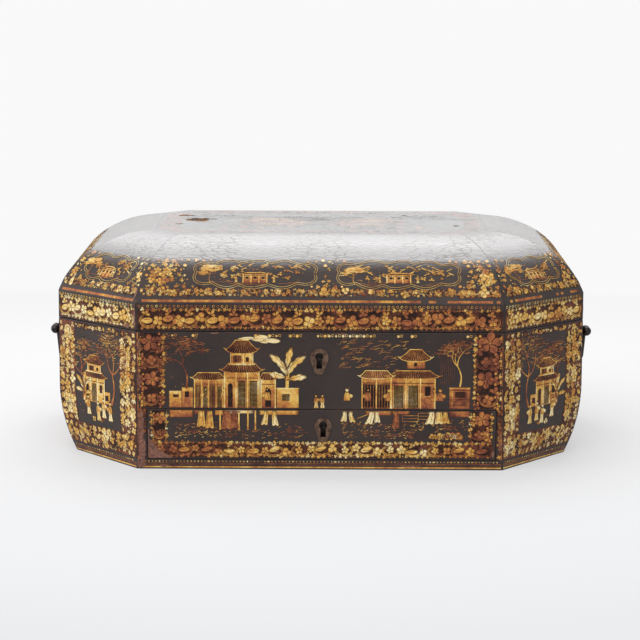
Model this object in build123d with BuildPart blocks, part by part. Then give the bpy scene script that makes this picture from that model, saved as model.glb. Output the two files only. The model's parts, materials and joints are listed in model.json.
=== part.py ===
from build123d import *
import os
from math import radians, sqrt, tan

# Lacquered sewing box, in millimetres. +Z is up, the front faces -Y, and the
# origin is the middle of the base board's underside.

# Overall shape of the eight-sided case
box_width = 360.0  # end to end
box_depth = 260.0  # front to back
corner_cut = 58.0  # what the cut corners take from each side
case_height = 93.0  # up to the rim
wall = 8.0
base_thickness = 6.5
foot_curve_height = 48.0  # the end walls curve in below this height
foot_curve_inset = 11.5  # how far they have come in at the very bottom

# Lid
seam_gap = 0.5  # shadow gap between the case and the lid
lid_wall = 7.0
band_height = 18.5  # upright band at the foot of the lid
cove_inset = 22.0  # steep arc of the cove, measured in from the edge and up from the band
cove_rise = 26.5
crown_inset = 65.0  # where the shallow arc meets the flat top
crown_rise = 39.0

# Drawer
drawer_left_stile = 6.5  # width of the front wall beside the drawer opening
drawer_right_stile = 4.2
drawer_opening_height = 34.4
drawer_gap = 0.4
drawer_front_thickness = 9.0
drawer_back_gap = 2.0
drawer_wall = 6.0
drawer_side_height = 30.0
drawer_bottom_thickness = 3.0
drawer_divider_thickness = 3.0
drawer_divider_height = 22.0
drawer_long_divider_y = 6.0
drawer_cross_divider_x = 38.0  # each side of the drawer's middle

# Shelf, guides and tray ledges
shelf_thickness = 4.0
fit_gap = 0.2  # between pieces that are only slipped together
guide_width = 10.0
guide_end_gap = 1.0  # from a guide's ends to the corner walls
ledge_drop = 29.0  # from the rim down to the top of the ledges
ledge_height = 6.0
ledge_depth = 6.0
ledge_end_gap = 22.0  # from a ledge's ends to the corners of the case

# Tray, its covers and their knobs
tray_side_gap = 1.0
tray_seat_gap = 0.1
tray_wall = 4.0
tray_height = 27.0
tray_bottom_thickness = 3.0
tray_divider_x = 60.0  # middle of each cross divider
tray_divider_thickness = 4.0
cover_thickness = 2.5
cover_gap = 0.3
cover_rebate_width = 2.0
cover_drop = 0.2  # the covers lie this far below the rim
knob_ball_diameter = 7.5
knob_foot_diameter = 9.0
knob_foot_height = 1.6
knob_neck_diameter = 3.4
knob_height = 9.5
knob_spigot_diameter = 3.0
knob_spigot_length = 2.3

# Keyholes and keyhole plates
lid_key_x = -0.5
lid_key_drop = 16.3  # from the rim down to the middle of the keyhole's round part
drawer_key_x = 2.2
drawer_key_drop = 10.2  # from the drawer's top edge
keyhole_diameter = 5.3
keyhole_slot_width = 3.6
keyhole_slot_reach = 8.1  # from the middle of the round part down
plate_thickness = 0.7
plate_bead = 0.5  # the raised ring stands this much prouder
plate_bead_width = 1.3
plate_top_radius = 6.1
plate_foot_radius = 3.7
plate_round_drop = 0.7  # the plate's upper round is centred this far below the keyhole's
plate_foot_drop = 8.6
drawer_plate_shrink = 0.93  # the drawer's plate is the smaller of the two

# Locks
lock_skin = 2.5  # wood left in front of a lock
lock_shell = 1.2
lock_slip = 0.3  # between a bolt and what guides it
lock_ear = 7.0
lid_lock_width = 40.0
lid_lock_height = 27.0
drawer_lock_width = 30.0
drawer_lock_height = 23.0
staple_spacing = 16.0
staple_thickness = 1.6
staple_width = 2.4
staple_reach = 9.0
staple_eye_width = 1.5
staple_eye_height = 3.6
staple_eye_floor = 1.4
link_plate_length = 34.0
link_plate_width = 5.0
link_plate_thickness = 1.2
link_plate_edge = 0.25  # from the plate's back edge to the inside of the lid's band
bolt_thickness = 2.4
bolt_finger_width = 1.1
bolt_finger_height = 2.6
bolt_post_width = 3.0
bolt_spine_height = 4.0
bolt_staple_gap = 0.6
lid_bolt_travel = 5.0
drawer_bolt_width = 12.0
drawer_bolt_length = 5.6
drawer_bolt_travel = 4.0

# Screws
screw_diameter = 2.0
screw_head_diameter = 3.8
screw_length = 5.0
hinge_screw_length = 7.0
screw_slip = 0.02
screw_head_room = 0.05  # kept clear over a flush head

# Hinges
hinge_corner_distance = 30.0  # from a hinge's middle to the corner of the case
hinge_length = 36.0
leaf_thickness = 1.2
leaf_depth = 6.4
knuckle_radius = 2.5
knuckle_count = 5
knuckle_gap = 0.2
barrel_gap = 0.3  # between the barrel and the walls in front of it
hinge_pin_diameter = 2.2
hinge_running_gap = 0.05
hinge_fixed_gap = 0.02

# End handles
handle_rim_drop = 12.4  # from the rim down to the handles' pivots
handle_reach = 5.5  # from the end wall to the pivot
handle_eye_y = 40.5
handle_ball_diameter = 6.6
handle_ball_gap = 0.4
handle_rod_diameter = 2.4
handle_pin_gap = 0.06
handle_drop = 24.0
handle_bottom_length = 34.0
handle_arm_bend = 7.0
handle_bottom_bend = 9.0
handle_pin_run = 1.6  # straight rod inside the eye before the arm bends down
eye_diameter = 6.2
eye_thickness = 3.0
shank_diameter = 2.6
nut_diameter = 6.5
nut_thickness = 2.4
nut_recess = 3.4
shank_past_nut = 0.7

# Sizes worked out from those above
half_width = box_width / 2
half_depth = box_depth / 2
front_half = half_width - corner_cut  # half the front face
end_half = half_depth - corner_cut  # half the end face
corner_lean = tan(radians(22.5))  # how fast a corner comes in as its sides do
opening_top = base_thickness + drawer_opening_height
opening_left = -front_half + drawer_left_stile
opening_right = front_half - drawer_right_stile
drawer_left = opening_left + drawer_gap
drawer_right = opening_right - drawer_gap
drawer_middle = (drawer_left + drawer_right) / 2
drawer_floor = base_thickness + drawer_gap
drawer_top = opening_top - drawer_gap
drawer_box_front = -half_depth + drawer_front_thickness
drawer_box_back = half_depth - wall - drawer_back_gap
shelf_top = opening_top + shelf_thickness
lid_floor = case_height + seam_gap
shoulder = lid_floor + band_height
crown = shoulder + crown_rise
hinge_x = front_half - hinge_corner_distance
hinge_y = half_depth + barrel_gap + knuckle_radius
hinge_z = case_height + seam_gap / 2
ledge_top = case_height - ledge_drop
ledge_length = 2 * (front_half - ledge_end_gap)
tray_floor = ledge_top + tray_seat_gap
tray_top = tray_floor + tray_height
tray_inset = wall + tray_side_gap
cover_rebate_depth = cover_thickness + cover_drop + tray_seat_gap
cover_floor = tray_top - cover_drop - cover_thickness
cover_inset = tray_inset + tray_wall - cover_rebate_width + cover_gap
cover_inner_x = tray_divider_x + tray_divider_thickness / 2 - cover_rebate_width + cover_gap
knob_x = (cover_inner_x + half_width - cover_inset) / 2
lid_key_z = case_height - lid_key_drop
drawer_key_z = drawer_top - drawer_key_drop
lock_back = -half_depth + wall
lock_front = -half_depth + lock_skin
staple_y = (lock_front + lock_back) / 2
staple_floor = lid_floor - staple_reach
link_plate_y = -half_depth + lid_wall - link_plate_edge - link_plate_width / 2
finger_low = staple_floor + staple_eye_floor + (staple_eye_height - bolt_finger_height) / 2
bolt_finger_length = lid_bolt_travel - bolt_staple_gap + lock_slip
handle_height = case_height - handle_rim_drop
pivot_x = half_width + handle_reach
ball_y = handle_eye_y + eye_thickness / 2 + handle_ball_gap + handle_ball_diameter / 2

os.makedirs("parts", exist_ok=True)


def save(piece, name):
    """Label a finished piece and write it."""
    piece.label = name
    export_step(piece, f"parts/{name}.step")


def save_group(pieces, name):
    """Write several loose solids as one node."""
    save(Compound(children=pieces), name)


def octagon(inset):
    """Corners of the plan outline, drawn in by inset on every side, anticlockwise."""
    front_x = front_half - inset * corner_lean
    end_y = end_half - inset * corner_lean
    side_x = half_width - inset
    side_y = half_depth - inset
    return [
        (-front_x, -side_y), (front_x, -side_y), (side_x, -end_y), (side_x, end_y),
        (front_x, side_y), (-front_x, side_y), (-side_x, end_y), (-side_x, -end_y),
    ]


def case_solid(inset):
    """The case as one block with its sides drawn in by inset. Below the foot curve's
    height the ends come in on an arc, and each cut corner is ruled between the
    upright front edge and the curved edge of the end wall."""
    front_x, front_y = octagon(inset)[4]
    side_x, end_y = octagon(inset)[3]
    foot_x = side_x - foot_curve_inset
    with BuildPart() as block:
        with BuildSketch(Plane.XZ.offset(front_y)):
            with Locations((0, foot_curve_height / 2)):
                Rectangle(2 * front_x, foot_curve_height)
        with BuildSketch(Plane.XZ.offset(end_y)) as end_section:
            with BuildLine():
                Line((-foot_x, 0), (foot_x, 0))
                TangentArc((side_x, foot_curve_height), (foot_x, 0), tangent=(0, -1))
                Line((side_x, foot_curve_height), (-side_x, foot_curve_height))
                TangentArc((-side_x, foot_curve_height), (-foot_x, 0), tangent=(0, -1))
            make_face()
        loft(ruled=True)
        mirror(about=Plane.XZ)
        extrude(end_section.sketch, amount=-2 * end_y)
        with BuildSketch(Plane.XY.offset(foot_curve_height)):
            with BuildLine():
                Polyline(*octagon(inset), close=True)
            make_face()
        extrude(amount=case_height - foot_curve_height)
    return block.part


outer_case = case_solid(0)
inner_case = case_solid(wall)

# Base board: the bottom slice of the whole outline
with BuildPart() as base_board:
    add(outer_case)
    split(bisect_by=Plane.XY.offset(base_thickness), keep=Keep.BOTTOM)
save(base_board.part, "base_board")

# The ring that the eight walls are cut from
with BuildPart() as wall_ring:
    add(outer_case)
    add(inner_case, mode=Mode.SUBTRACT)
    split(bisect_by=Plane.XY.offset(base_thickness), keep=Keep.TOP)


def wall_piece(x_low, x_high, y_low, y_high):
    """What an upright block holds of the ring."""
    with BuildPart() as piece:
        add(wall_ring.part)
        with Locations(((x_low + x_high) / 2, (y_low + y_high) / 2, case_height / 2)):
            Box(x_high - x_low, y_high - y_low, case_height, mode=Mode.INTERSECT)
    return piece.part


def keyhole():
    """Keyhole outline round the middle of its round part."""
    Circle(keyhole_diameter / 2)
    with Locations((0, -keyhole_slot_reach / 2)):
        Rectangle(keyhole_slot_width, keyhole_slot_reach)


def screw(length):
    """Countersunk screw, its head flush with z = 0 and its point down."""
    head_depth = (screw_head_diameter - screw_diameter) / 2
    with BuildPart() as body:
        with BuildSketch(Plane.XZ):
            with BuildLine():
                Polyline(
                    (0, 0), (screw_head_diameter / 2, 0), (screw_diameter / 2, -head_depth),
                    (screw_diameter / 2, -length + screw_diameter), (0, -length), close=True,
                )
            make_face()
        revolve(axis=Axis.Z)
    return body.part


def screw_room(length):
    """What a screw takes out of the wood and the metal round it."""
    head_depth = (screw_head_diameter - screw_diameter) / 2
    head_radius = screw_head_diameter / 2 + screw_slip
    body_radius = screw_diameter / 2 + screw_slip
    with BuildPart() as room:
        with BuildSketch(Plane.XZ):
            with BuildLine():
                Polyline(
                    (0, screw_head_room), (head_radius, screw_head_room), (head_radius, 0),
                    (body_radius, -head_depth), (body_radius, -length + screw_diameter),
                    (0, -length - screw_slip), close=True,
                )
            make_face()
        revolve(axis=Axis.Z)
    return room.part


def placed(piece, where):
    """The piece moved to each of the given planes or locations."""
    return [piece.moved(Location(place)) for place in where]


# Lid lock: a shell let into the front wall from inside, flush with the rim
def lock_shell_part(key_x, key_z, width, height, top, back, slots):
    """Lock case with two ears, its keyhole in front and its slots on top."""
    depth = back - lock_front
    middle = (lock_front + back) / 2
    with BuildPart() as case:
        with Locations((key_x, middle, top - height / 2)):
            Box(width, depth, height)
            Box(width - 2 * lock_shell, depth - 2 * lock_shell, height - 2 * lock_shell,
                mode=Mode.SUBTRACT)
        with Locations((key_x, back - lock_shell / 2, top - height / 2)):
            for side in (-1, 1):
                with Locations((side * (width + lock_ear) / 2, 0, 0)):
                    Box(lock_ear, lock_shell, height)
        with BuildSketch(Plane.XZ.offset(-lock_front)):
            with Locations((key_x, key_z)):
                keyhole()
        extrude(amount=-lock_shell, mode=Mode.SUBTRACT)
        for slot_x, slot_y, slot_width, slot_depth in slots:
            with Locations((slot_x, slot_y, top - lock_shell / 2)):
                Box(slot_width, slot_depth, lock_shell, mode=Mode.SUBTRACT)
        for seat in placed(screw_room(screw_length), lock_screw_seats(key_x, width, height, top, back)):
            add(seat, mode=Mode.SUBTRACT)
    return case.part


def lock_screw_seats(key_x, width, height, top, back):
    """Where the four screws go in, heads on the lock's inner face."""
    reach_x = (width + lock_ear) / 2
    reach_z = height / 2 - screw_head_diameter
    return [
        Plane(origin=(key_x + side * reach_x, back, top - height / 2 + level * reach_z),
              x_dir=(1, 0, 0), z_dir=(0, 1, 0))
        for side in (-1, 1) for level in (-1, 1)
    ]


def lock_room(key_x, width, height, top, back):
    """Mortise for a lock and the shallow seats for its ears, with the lock's slip."""
    with BuildPart() as room:
        with Locations((key_x, (lock_front + back) / 2, top - height / 2)):
            Box(width + 2 * fit_gap, back - lock_front, height + 2 * fit_gap)
        with Locations((key_x, back - lock_shell / 2, top - height / 2)):
            Box(width + 2 * lock_ear + 2 * fit_gap, lock_shell, height + 2 * fit_gap)
    return room.part


lid_lock = (lid_key_x, lid_lock_width, lid_lock_height, case_height, lock_back)
staple_places = [lid_key_x - staple_spacing / 2, lid_key_x + staple_spacing / 2]
staple_slots = [
    (x, staple_y, staple_thickness + 2 * lock_slip, staple_width + 2 * lock_slip)
    for x in staple_places
]
lid_lock_case = lock_shell_part(lid_key_x, lid_key_z, lid_lock_width, lid_lock_height,
                                case_height, lock_back, staple_slots)
save(lid_lock_case, "lid_lock_case")
save_group(placed(screw(screw_length), lock_screw_seats(*lid_lock)), "lid_lock_screws")

# Drawer lock, the same kind, let into the drawer front
drawer_lock = (drawer_key_x, drawer_lock_width, drawer_lock_height, drawer_top, drawer_box_front)
drawer_bolt_y = lock_front + lock_shell + lock_slip + bolt_thickness / 2
drawer_bolt_slot = (drawer_key_x, drawer_bolt_y, drawer_bolt_width + 2 * lock_slip,
                    bolt_thickness + 2 * lock_slip)
drawer_lock_case = lock_shell_part(drawer_key_x, drawer_key_z, drawer_lock_width,
                                   drawer_lock_height, drawer_top, drawer_box_front,
                                   [drawer_bolt_slot])
save(drawer_lock_case, "drawer_lock_case")
save_group(placed(screw(screw_length), lock_screw_seats(*drawer_lock)), "drawer_lock_screws")

# Drawer bolt: rises through the drawer front's top edge into the front wall
drawer_bolt_top = drawer_top - lock_slip
with BuildPart() as drawer_lock_bolt:
    with Locations((drawer_key_x, drawer_bolt_y, drawer_bolt_top - drawer_bolt_length / 2)):
        Box(drawer_bolt_width, bolt_thickness, drawer_bolt_length)
    chamfer(drawer_lock_bolt.faces().sort_by(Axis.Z)[-1].edges().filter_by(Axis.X), lock_slip)
save(drawer_lock_bolt.part, "drawer_lock_bolt")

# Front wall, one board with the drawer opening cut out of its lower edge
with BuildPart() as front_wall:
    add(wall_piece(-front_half, front_half, -half_depth - wall, -end_half))
    with BuildSketch(Plane.XZ.offset(half_depth)):
        with Locations(((opening_left + opening_right) / 2, opening_top / 2)):
            Rectangle(opening_right - opening_left, opening_top)
        with Locations((lid_key_x, lid_key_z)):
            keyhole()
    extrude(amount=-wall, mode=Mode.SUBTRACT)
    add(lock_room(*lid_lock), mode=Mode.SUBTRACT)
    for seat in placed(screw_room(screw_length), lock_screw_seats(*lid_lock)):
        add(seat, mode=Mode.SUBTRACT)
    with Locations((drawer_key_x, drawer_bolt_y, opening_top + drawer_bolt_travel / 2)):
        Box(drawer_bolt_width + 2 * lock_slip, bolt_thickness + 2 * lock_slip,
            drawer_bolt_travel, mode=Mode.SUBTRACT)
save(front_wall.part, "front_wall")


# Hinges: two leaves with interleaved knuckles round a pin
def knuckle_spans(which):
    """X ranges of one leaf's knuckles, from the hinge's middle."""
    pitch = hinge_length / knuckle_count
    return [
        (-hinge_length / 2 + i * pitch + knuckle_gap / 2,
         -hinge_length / 2 + (i + 1) * pitch - knuckle_gap / 2)
        for i in range(which, knuckle_count, 2)
    ]


def hinge_screw_places(side):
    """X of a leaf's three screws."""
    return [side * hinge_x + step * hinge_length / 3 for step in (-1, 0, 1)]


def hinge_leaf(side, lid):
    """Leaf with its knuckles: the case's lies under the seam, the lid's above it."""
    up = 1 if lid else -1
    seat = lid_floor if lid else case_height
    bore = hinge_running_gap if lid else hinge_fixed_gap
    plate_z = seat + up * leaf_thickness / 2
    with BuildPart() as leaf:
        with Locations((side * hinge_x, half_depth - leaf_depth / 2, plate_z)):
            Box(hinge_length, leaf_depth, leaf_thickness)
        for low, high in knuckle_spans(1 if lid else 0):
            middle = side * hinge_x + (low + high) / 2
            with Locations((middle, (half_depth + hinge_y) / 2, plate_z)):
                Box(high - low, hinge_y - half_depth, leaf_thickness)
            with Locations(Location((middle, hinge_y, hinge_z), (0, 90, 0))):
                Cylinder(knuckle_radius, high - low)
        with Locations(Location((side * hinge_x, hinge_y, hinge_z), (0, 90, 0))):
            Cylinder(hinge_pin_diameter / 2 + bore, hinge_length, mode=Mode.SUBTRACT)
        for seat_room in placed(screw_room(hinge_screw_length), hinge_screw_seats(side, lid)):
            add(seat_room, mode=Mode.SUBTRACT)
    return leaf.part


def hinge_screw_seats(side, lid):
    """Where a leaf's screws go in: down into the case or up into the lid."""
    y = half_depth - leaf_depth / 2
    if lid:
        return [Plane(origin=(x, y, lid_floor), x_dir=(1, 0, 0), z_dir=(0, 0, -1))
                for x in hinge_screw_places(side)]
    return [Plane(origin=(x, y, case_height), x_dir=(1, 0, 0), z_dir=(0, 0, 1))
            for x in hinge_screw_places(side)]


def hinge_seats(lid):
    """What both hinges take out of the wood of the case or of the lid."""
    up = 1 if lid else -1
    seat = lid_floor if lid else case_height
    with BuildPart() as seats:
        for side in (-1, 1):
            with Locations((side * hinge_x, half_depth - leaf_depth / 2, seat + up * leaf_thickness / 2)):
                Box(hinge_length + 2 * fit_gap, leaf_depth + 2 * fit_gap, leaf_thickness)
            for room in placed(screw_room(hinge_screw_length), hinge_screw_seats(side, lid)):
                add(room)
    return seats.part


for lid, name in ((False, "case"), (True, "lid")):
    save_group([hinge_leaf(side, lid) for side in (-1, 1)], f"{name}_hinge_leaves")
    seats = [seat for side in (-1, 1) for seat in hinge_screw_seats(side, lid)]
    save_group(placed(screw(hinge_screw_length), seats), f"{name}_hinge_screws")

pins = []
for side in (-1, 1):
    with BuildPart() as hinge_pin:
        with Locations(Location((side * hinge_x, hinge_y, hinge_z), (0, 90, 0))):
            Cylinder(hinge_pin_diameter / 2, hinge_length)
    pins.append(hinge_pin.part)
save_group(pins, "hinge_pins")

# Back wall with the seats of the two case leaves
with BuildPart() as back_wall:
    add(wall_piece(-front_half, front_half, end_half, half_depth + wall))
    add(hinge_seats(lid=False), mode=Mode.SUBTRACT)
save(back_wall.part, "back_wall")


# End handles: two eye posts with nuts, and a bail between them
def handle_place(side, y):
    """Plane on an end wall at a post, its normal pointing out of the box."""
    return Plane(origin=(side * half_width, y, handle_height), x_dir=(0, side, 0), z_dir=(side, 0, 0))


def handle_post():
    """Eye post with its shank through the wall, on the outer face at z = 0."""
    with BuildPart() as post:
        with Locations(Location((0, 0, handle_reach), (0, 90, 0))):
            Cylinder(eye_diameter / 2, eye_thickness)
        with Locations((0, 0, handle_reach / 2)):
            Cylinder(shank_diameter / 2, handle_reach)
        shank = wall - nut_recess + nut_thickness + shank_past_nut
        with Locations((0, 0, -shank / 2)):
            Cylinder(shank_diameter / 2, shank)
        with Locations(Location((0, 0, handle_reach), (0, 90, 0))):
            Cylinder(handle_rod_diameter / 2 + handle_pin_gap, eye_thickness, mode=Mode.SUBTRACT)
    return post.part


def handle_nut():
    """Six-sided nut in its recess in the wall's inner face."""
    with BuildPart() as nut:
        with BuildSketch(Plane.XY.offset(-wall + nut_recess - nut_thickness)):
            RegularPolygon(nut_diameter / 2, 6)
            Circle(shank_diameter / 2 + screw_slip, mode=Mode.SUBTRACT)
        extrude(amount=nut_thickness)
    return nut.part


def handle_wall_room():
    """Bore for the shank and the nut's recess."""
    with BuildPart() as room:
        with Locations((0, 0, -wall / 2)):
            Cylinder(shank_diameter / 2 + screw_slip, wall)
        with Locations((0, 0, -wall + nut_recess / 2)):
            Cylinder(nut_diameter / 2 + fit_gap, nut_recess)
    return room.part


def bail(side):
    """Bent rod from ball to ball, hanging from its pivot."""
    start = -ball_y
    bend = -(handle_eye_y - eye_thickness / 2 - handle_pin_run)
    x = side * pivot_x
    low = handle_height - handle_drop
    half_bottom = handle_bottom_length / 2
    with BuildPart() as rod:
        with BuildLine():
            FilletPolyline(
                (x, start, handle_height), (x, bend + handle_arm_bend / 2, handle_height),
                (x, -half_bottom, low), (x, half_bottom, low),
                (x, -bend - handle_arm_bend / 2, handle_height), (x, -start, handle_height),
                radius=[handle_arm_bend, handle_bottom_bend, handle_bottom_bend, handle_arm_bend],
            )
        with BuildSketch(Plane(origin=(x, start, handle_height), x_dir=(1, 0, 0), z_dir=(0, 1, 0))):
            Circle(handle_rod_diameter / 2)
        sweep()
        for y in (-ball_y, ball_y):
            with Locations((x, y, handle_height)):
                Sphere(handle_ball_diameter / 2)
    return rod.part


nuts = []
for side, name in ((-1, "left"), (1, "right")):
    places = [handle_place(side, y) for y in (-handle_eye_y, handle_eye_y)]
    save_group(placed(handle_post(), places), f"{name}_handle_posts")
    nuts += placed(handle_nut(), places)
    save(bail(side), f"{name}_bail")
    with BuildPart() as end_wall:
        add(wall_piece(*sorted((side * front_half, side * (half_width + wall))), -end_half, end_half))
        for room in placed(handle_wall_room(), places):
            add(room, mode=Mode.SUBTRACT)
    save(end_wall.part, f"{name}_end_wall")
save_group(nuts, "handle_nuts")

# Corner walls, what is left of the ring in each quarter
for side, side_name in ((-1, "left"), (1, "right")):
    for way, way_name in ((-1, "front"), (1, "back")):
        x_range = sorted((side * front_half, side * (half_width + wall)))
        y_range = sorted((way * end_half, way * (half_depth + wall)))
        save(wall_piece(*x_range, *y_range), f"{way_name}_{side_name}_corner_wall")

# Shelf between the drawer and the upper well
with BuildPart() as shelf_board:
    add(case_solid(wall + fit_gap))
    split(bisect_by=Plane.XY.offset(shelf_top), keep=Keep.BOTTOM)
    split(bisect_by=Plane.XY.offset(opening_top), keep=Keep.TOP)
save(shelf_board.part, "shelf_board")

# Drawer guides, standing on the base board between the leaning corner walls and
# carrying the shelf
inner_corner_x, inner_corner_y = octagon(wall)[4]
inner_end_x, inner_end_y = octagon(wall)[3]
corner_slope = (inner_corner_y - inner_end_y) / (inner_end_x - foot_curve_inset - inner_corner_x)
for side, name in ((-1, "left"), (1, "right")):
    inner = opening_left if side < 0 else opening_right
    past_corner = max(0, abs(inner) + guide_width - inner_corner_x)
    guide_reach = inner_corner_y - past_corner * corner_slope - guide_end_gap
    with BuildPart() as drawer_guide:
        with Locations((inner + side * guide_width / 2, 0, base_thickness + drawer_opening_height / 2)):
            Box(guide_width, 2 * guide_reach, drawer_opening_height)
    save(drawer_guide.part, f"{name}_drawer_guide")

# Ledges that carry the tray along the front and back walls
for way, name in ((-1, "front"), (1, "back")):
    with BuildPart() as tray_ledge:
        with Locations((0, way * (half_depth - wall - ledge_depth / 2), ledge_top - ledge_height / 2)):
            Box(ledge_length, ledge_depth, ledge_height)
        low_edge = tray_ledge.edges().filter_by(Axis.X).group_by(Axis.Z)[0].sort_by(Axis.Y)[0 if way > 0 else -1]
        chamfer(low_edge, ledge_depth / 2)
    save(tray_ledge.part, f"{name}_tray_ledge")


# Keyhole plates: an egg-shaped plate with a raised ring round the hole
def keyhole_plate(x, y, z, scale):
    """Plate on the plane y, centred on a keyhole."""
    front = Plane.XZ.offset(-y)
    with BuildPart() as plate:
        for grow, thickness in ((0, plate_thickness), (-plate_bead_width, plate_thickness + plate_bead)):
            with BuildSketch(front):
                with Locations((x, z - scale * plate_round_drop)):
                    Circle(scale * plate_top_radius + grow)
                with Locations((x, z - scale * plate_foot_drop)):
                    Circle(scale * plate_foot_radius + grow)
                make_hull()
            extrude(amount=thickness)
        with BuildSketch(front):
            with Locations((x, z)):
                keyhole()
        extrude(amount=plate_thickness + plate_bead, mode=Mode.SUBTRACT)
    return plate.part


save(keyhole_plate(lid_key_x, -half_depth, lid_key_z, 1.0), "case_keyhole_plate")
save(keyhole_plate(drawer_key_x, -half_depth, drawer_key_z, drawer_plate_shrink), "drawer_keyhole_plate")

# Lid sides: the band with the cove above it, mitred at the eight corners
knee = (cove_inset, shoulder + cove_rise)
crown_run = crown_inset - cove_inset
crown_fall = crown_rise - cove_rise
crown_radius = (crown_run**2 + crown_fall**2) / (2 * crown_fall)
knee_lean = crown_run / crown_radius  # sine of the slope at the knee
knee_level = sqrt(1 - knee_lean**2)
cove_radius = (cove_inset**2 + cove_rise**2) / (2 * (cove_rise * knee_level - cove_inset * knee_lean))
cove_centre = (knee[0] + cove_radius * knee_lean, knee[1] - cove_radius * knee_level)
inner_knee = (knee[0] + lid_wall * knee_lean, knee[1] - lid_wall * knee_level)
inner_shoulder = cove_centre[1] + sqrt((cove_radius - lid_wall) ** 2 - (cove_centre[0] - lid_wall) ** 2)


def lid_profile():
    """Section of a lid side: inset from the outer edge, then height."""
    with BuildSketch() as section:
        with BuildLine():
            crown_arc = TangentArc((crown_inset, crown), knee, tangent=(-1, 0))
            TangentArc(knee, (0, shoulder), tangent=crown_arc % 1)
            Polyline((0, shoulder), (0, lid_floor), (lid_wall, lid_floor), (lid_wall, inner_shoulder))
            inner_arc = TangentArc((crown_inset, crown - lid_wall), inner_knee, tangent=(-1, 0))
            TangentArc(inner_knee, (lid_wall, inner_shoulder), tangent=inner_arc % 1)
            Line((crown_inset, crown - lid_wall), (crown_inset, crown))
        make_face()
    return section.sketch


def lid_side(index):
    """One of the eight sides, cut to the mitre lines of its two corners."""
    outline = octagon(0)
    start = Vector(*outline[index], 0)
    end = Vector(*outline[(index + 1) % 8], 0)
    along = (end - start).normalized()
    inward = Vector(0, 0, 1).cross(along)
    out_line = octagon(-lid_wall)
    in_line = octagon(crown_inset + lid_wall)
    following = (index + 1) % 8
    with BuildPart() as side:
        with BuildSketch(Plane(origin=(start + end) * 0.5, x_dir=inward, z_dir=along)):
            add(lid_profile())
        extrude(amount=(end - start).length / 2 + lid_wall, both=True)
        with BuildSketch(Plane.XY):
            with BuildLine():
                Polyline(out_line[index], out_line[following], in_line[following], in_line[index],
                         close=True)
            make_face()
        extrude(amount=crown + lid_wall, mode=Mode.INTERSECT)
    return side.part


lid_side_names = ["front", "front_right", "right", "back_right", "back", "back_left", "left", "front_left"]

# Link plate under the lid's front, with two staples for the lock's bolt
link_screw_x = link_plate_length / 2 - screw_head_diameter
link_screw_seats = [
    Plane(origin=(lid_key_x + side * link_screw_x, link_plate_y, lid_floor), x_dir=(1, 0, 0),
          z_dir=(0, 0, -1))
    for side in (-1, 1)
]
with BuildPart() as link_plate:
    with Locations((lid_key_x, link_plate_y, lid_floor + link_plate_thickness / 2)):
        Box(link_plate_length, link_plate_width, link_plate_thickness)
    for x in staple_places:
        with Locations((x, staple_y, lid_floor - staple_reach / 2)):
            Box(staple_thickness, staple_width, staple_reach)
        with Locations((x, staple_y, staple_floor + staple_eye_floor + staple_eye_height / 2)):
            Box(staple_thickness, staple_eye_width, staple_eye_height, mode=Mode.SUBTRACT)
    for room in placed(screw_room(screw_length), link_screw_seats):
        add(room, mode=Mode.SUBTRACT)
save(link_plate.part, "lid_link_plate")
save_group(placed(screw(screw_length), link_screw_seats), "link_plate_screws")

with BuildPart() as link_plate_seat:
    with Locations((lid_key_x, link_plate_y, lid_floor + link_plate_thickness / 2)):
        Box(link_plate_length + 2 * fit_gap, link_plate_width + 2 * fit_gap, link_plate_thickness)
    for room in placed(screw_room(screw_length), link_screw_seats):
        add(room)

for index, name in enumerate(lid_side_names):
    with BuildPart() as lid_side_board:
        add(lid_side(index))
        if name == "front":
            add(link_plate_seat.part, mode=Mode.SUBTRACT)
        if name == "back":
            add(hinge_seats(lid=True), mode=Mode.SUBTRACT)
    save(lid_side_board.part, f"lid_{name}_side")

# Flat top board, closing the lid inside the eight sides
with BuildPart() as lid_top:
    with BuildSketch(Plane.XY.offset(crown - lid_wall)):
        with BuildLine():
            Polyline(*octagon(crown_inset), close=True)
        make_face()
    extrude(amount=lid_wall)
save(lid_top.part, "lid_top")

# Lid lock bolt: a spine under the staples with a finger for each of them
spine_high = staple_floor - bolt_staple_gap
finger_starts = [x - staple_thickness / 2 - bolt_staple_gap - bolt_finger_length for x in staple_places]
with BuildPart() as lid_lock_bolt:
    spine_left = finger_starts[0] - bolt_post_width
    spine_right = staple_places[1]
    with BuildSketch(Plane.XZ.offset(-staple_y)) as bolt_shape:
        with Locations(((spine_left + spine_right) / 2, spine_high - bolt_spine_height / 2)):
            Rectangle(spine_right - spine_left, bolt_spine_height)
        for start in finger_starts:
            post_height = finger_low + bolt_finger_height - spine_high
            with Locations((start - bolt_post_width / 2, spine_high + post_height / 2)):
                Rectangle(bolt_post_width, post_height)
    extrude(amount=bolt_thickness / 2, both=True)
    for start in finger_starts:
        with Locations((start + bolt_finger_length / 2, staple_y, finger_low + bolt_finger_height / 2)):
            Box(bolt_finger_length, bolt_finger_width, bolt_finger_height)
save(lid_lock_bolt.part, "lid_lock_bolt")

# Drawer front with its lock mortise and keyhole
drawer_width = drawer_right - drawer_left
drawer_front_height = drawer_top - drawer_floor
with BuildPart() as drawer_front:
    with Locations((drawer_middle, -half_depth + drawer_front_thickness / 2, drawer_floor + drawer_front_height / 2)):
        Box(drawer_width, drawer_front_thickness, drawer_front_height)
    with BuildSketch(Plane.XZ.offset(half_depth)):
        with Locations((drawer_key_x, drawer_key_z)):
            keyhole()
    extrude(amount=-drawer_front_thickness, mode=Mode.SUBTRACT)
    add(lock_room(*drawer_lock), mode=Mode.SUBTRACT)
    for seat in placed(screw_room(screw_length), lock_screw_seats(*drawer_lock)):
        add(seat, mode=Mode.SUBTRACT)
save(drawer_front.part, "drawer_front")

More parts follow.
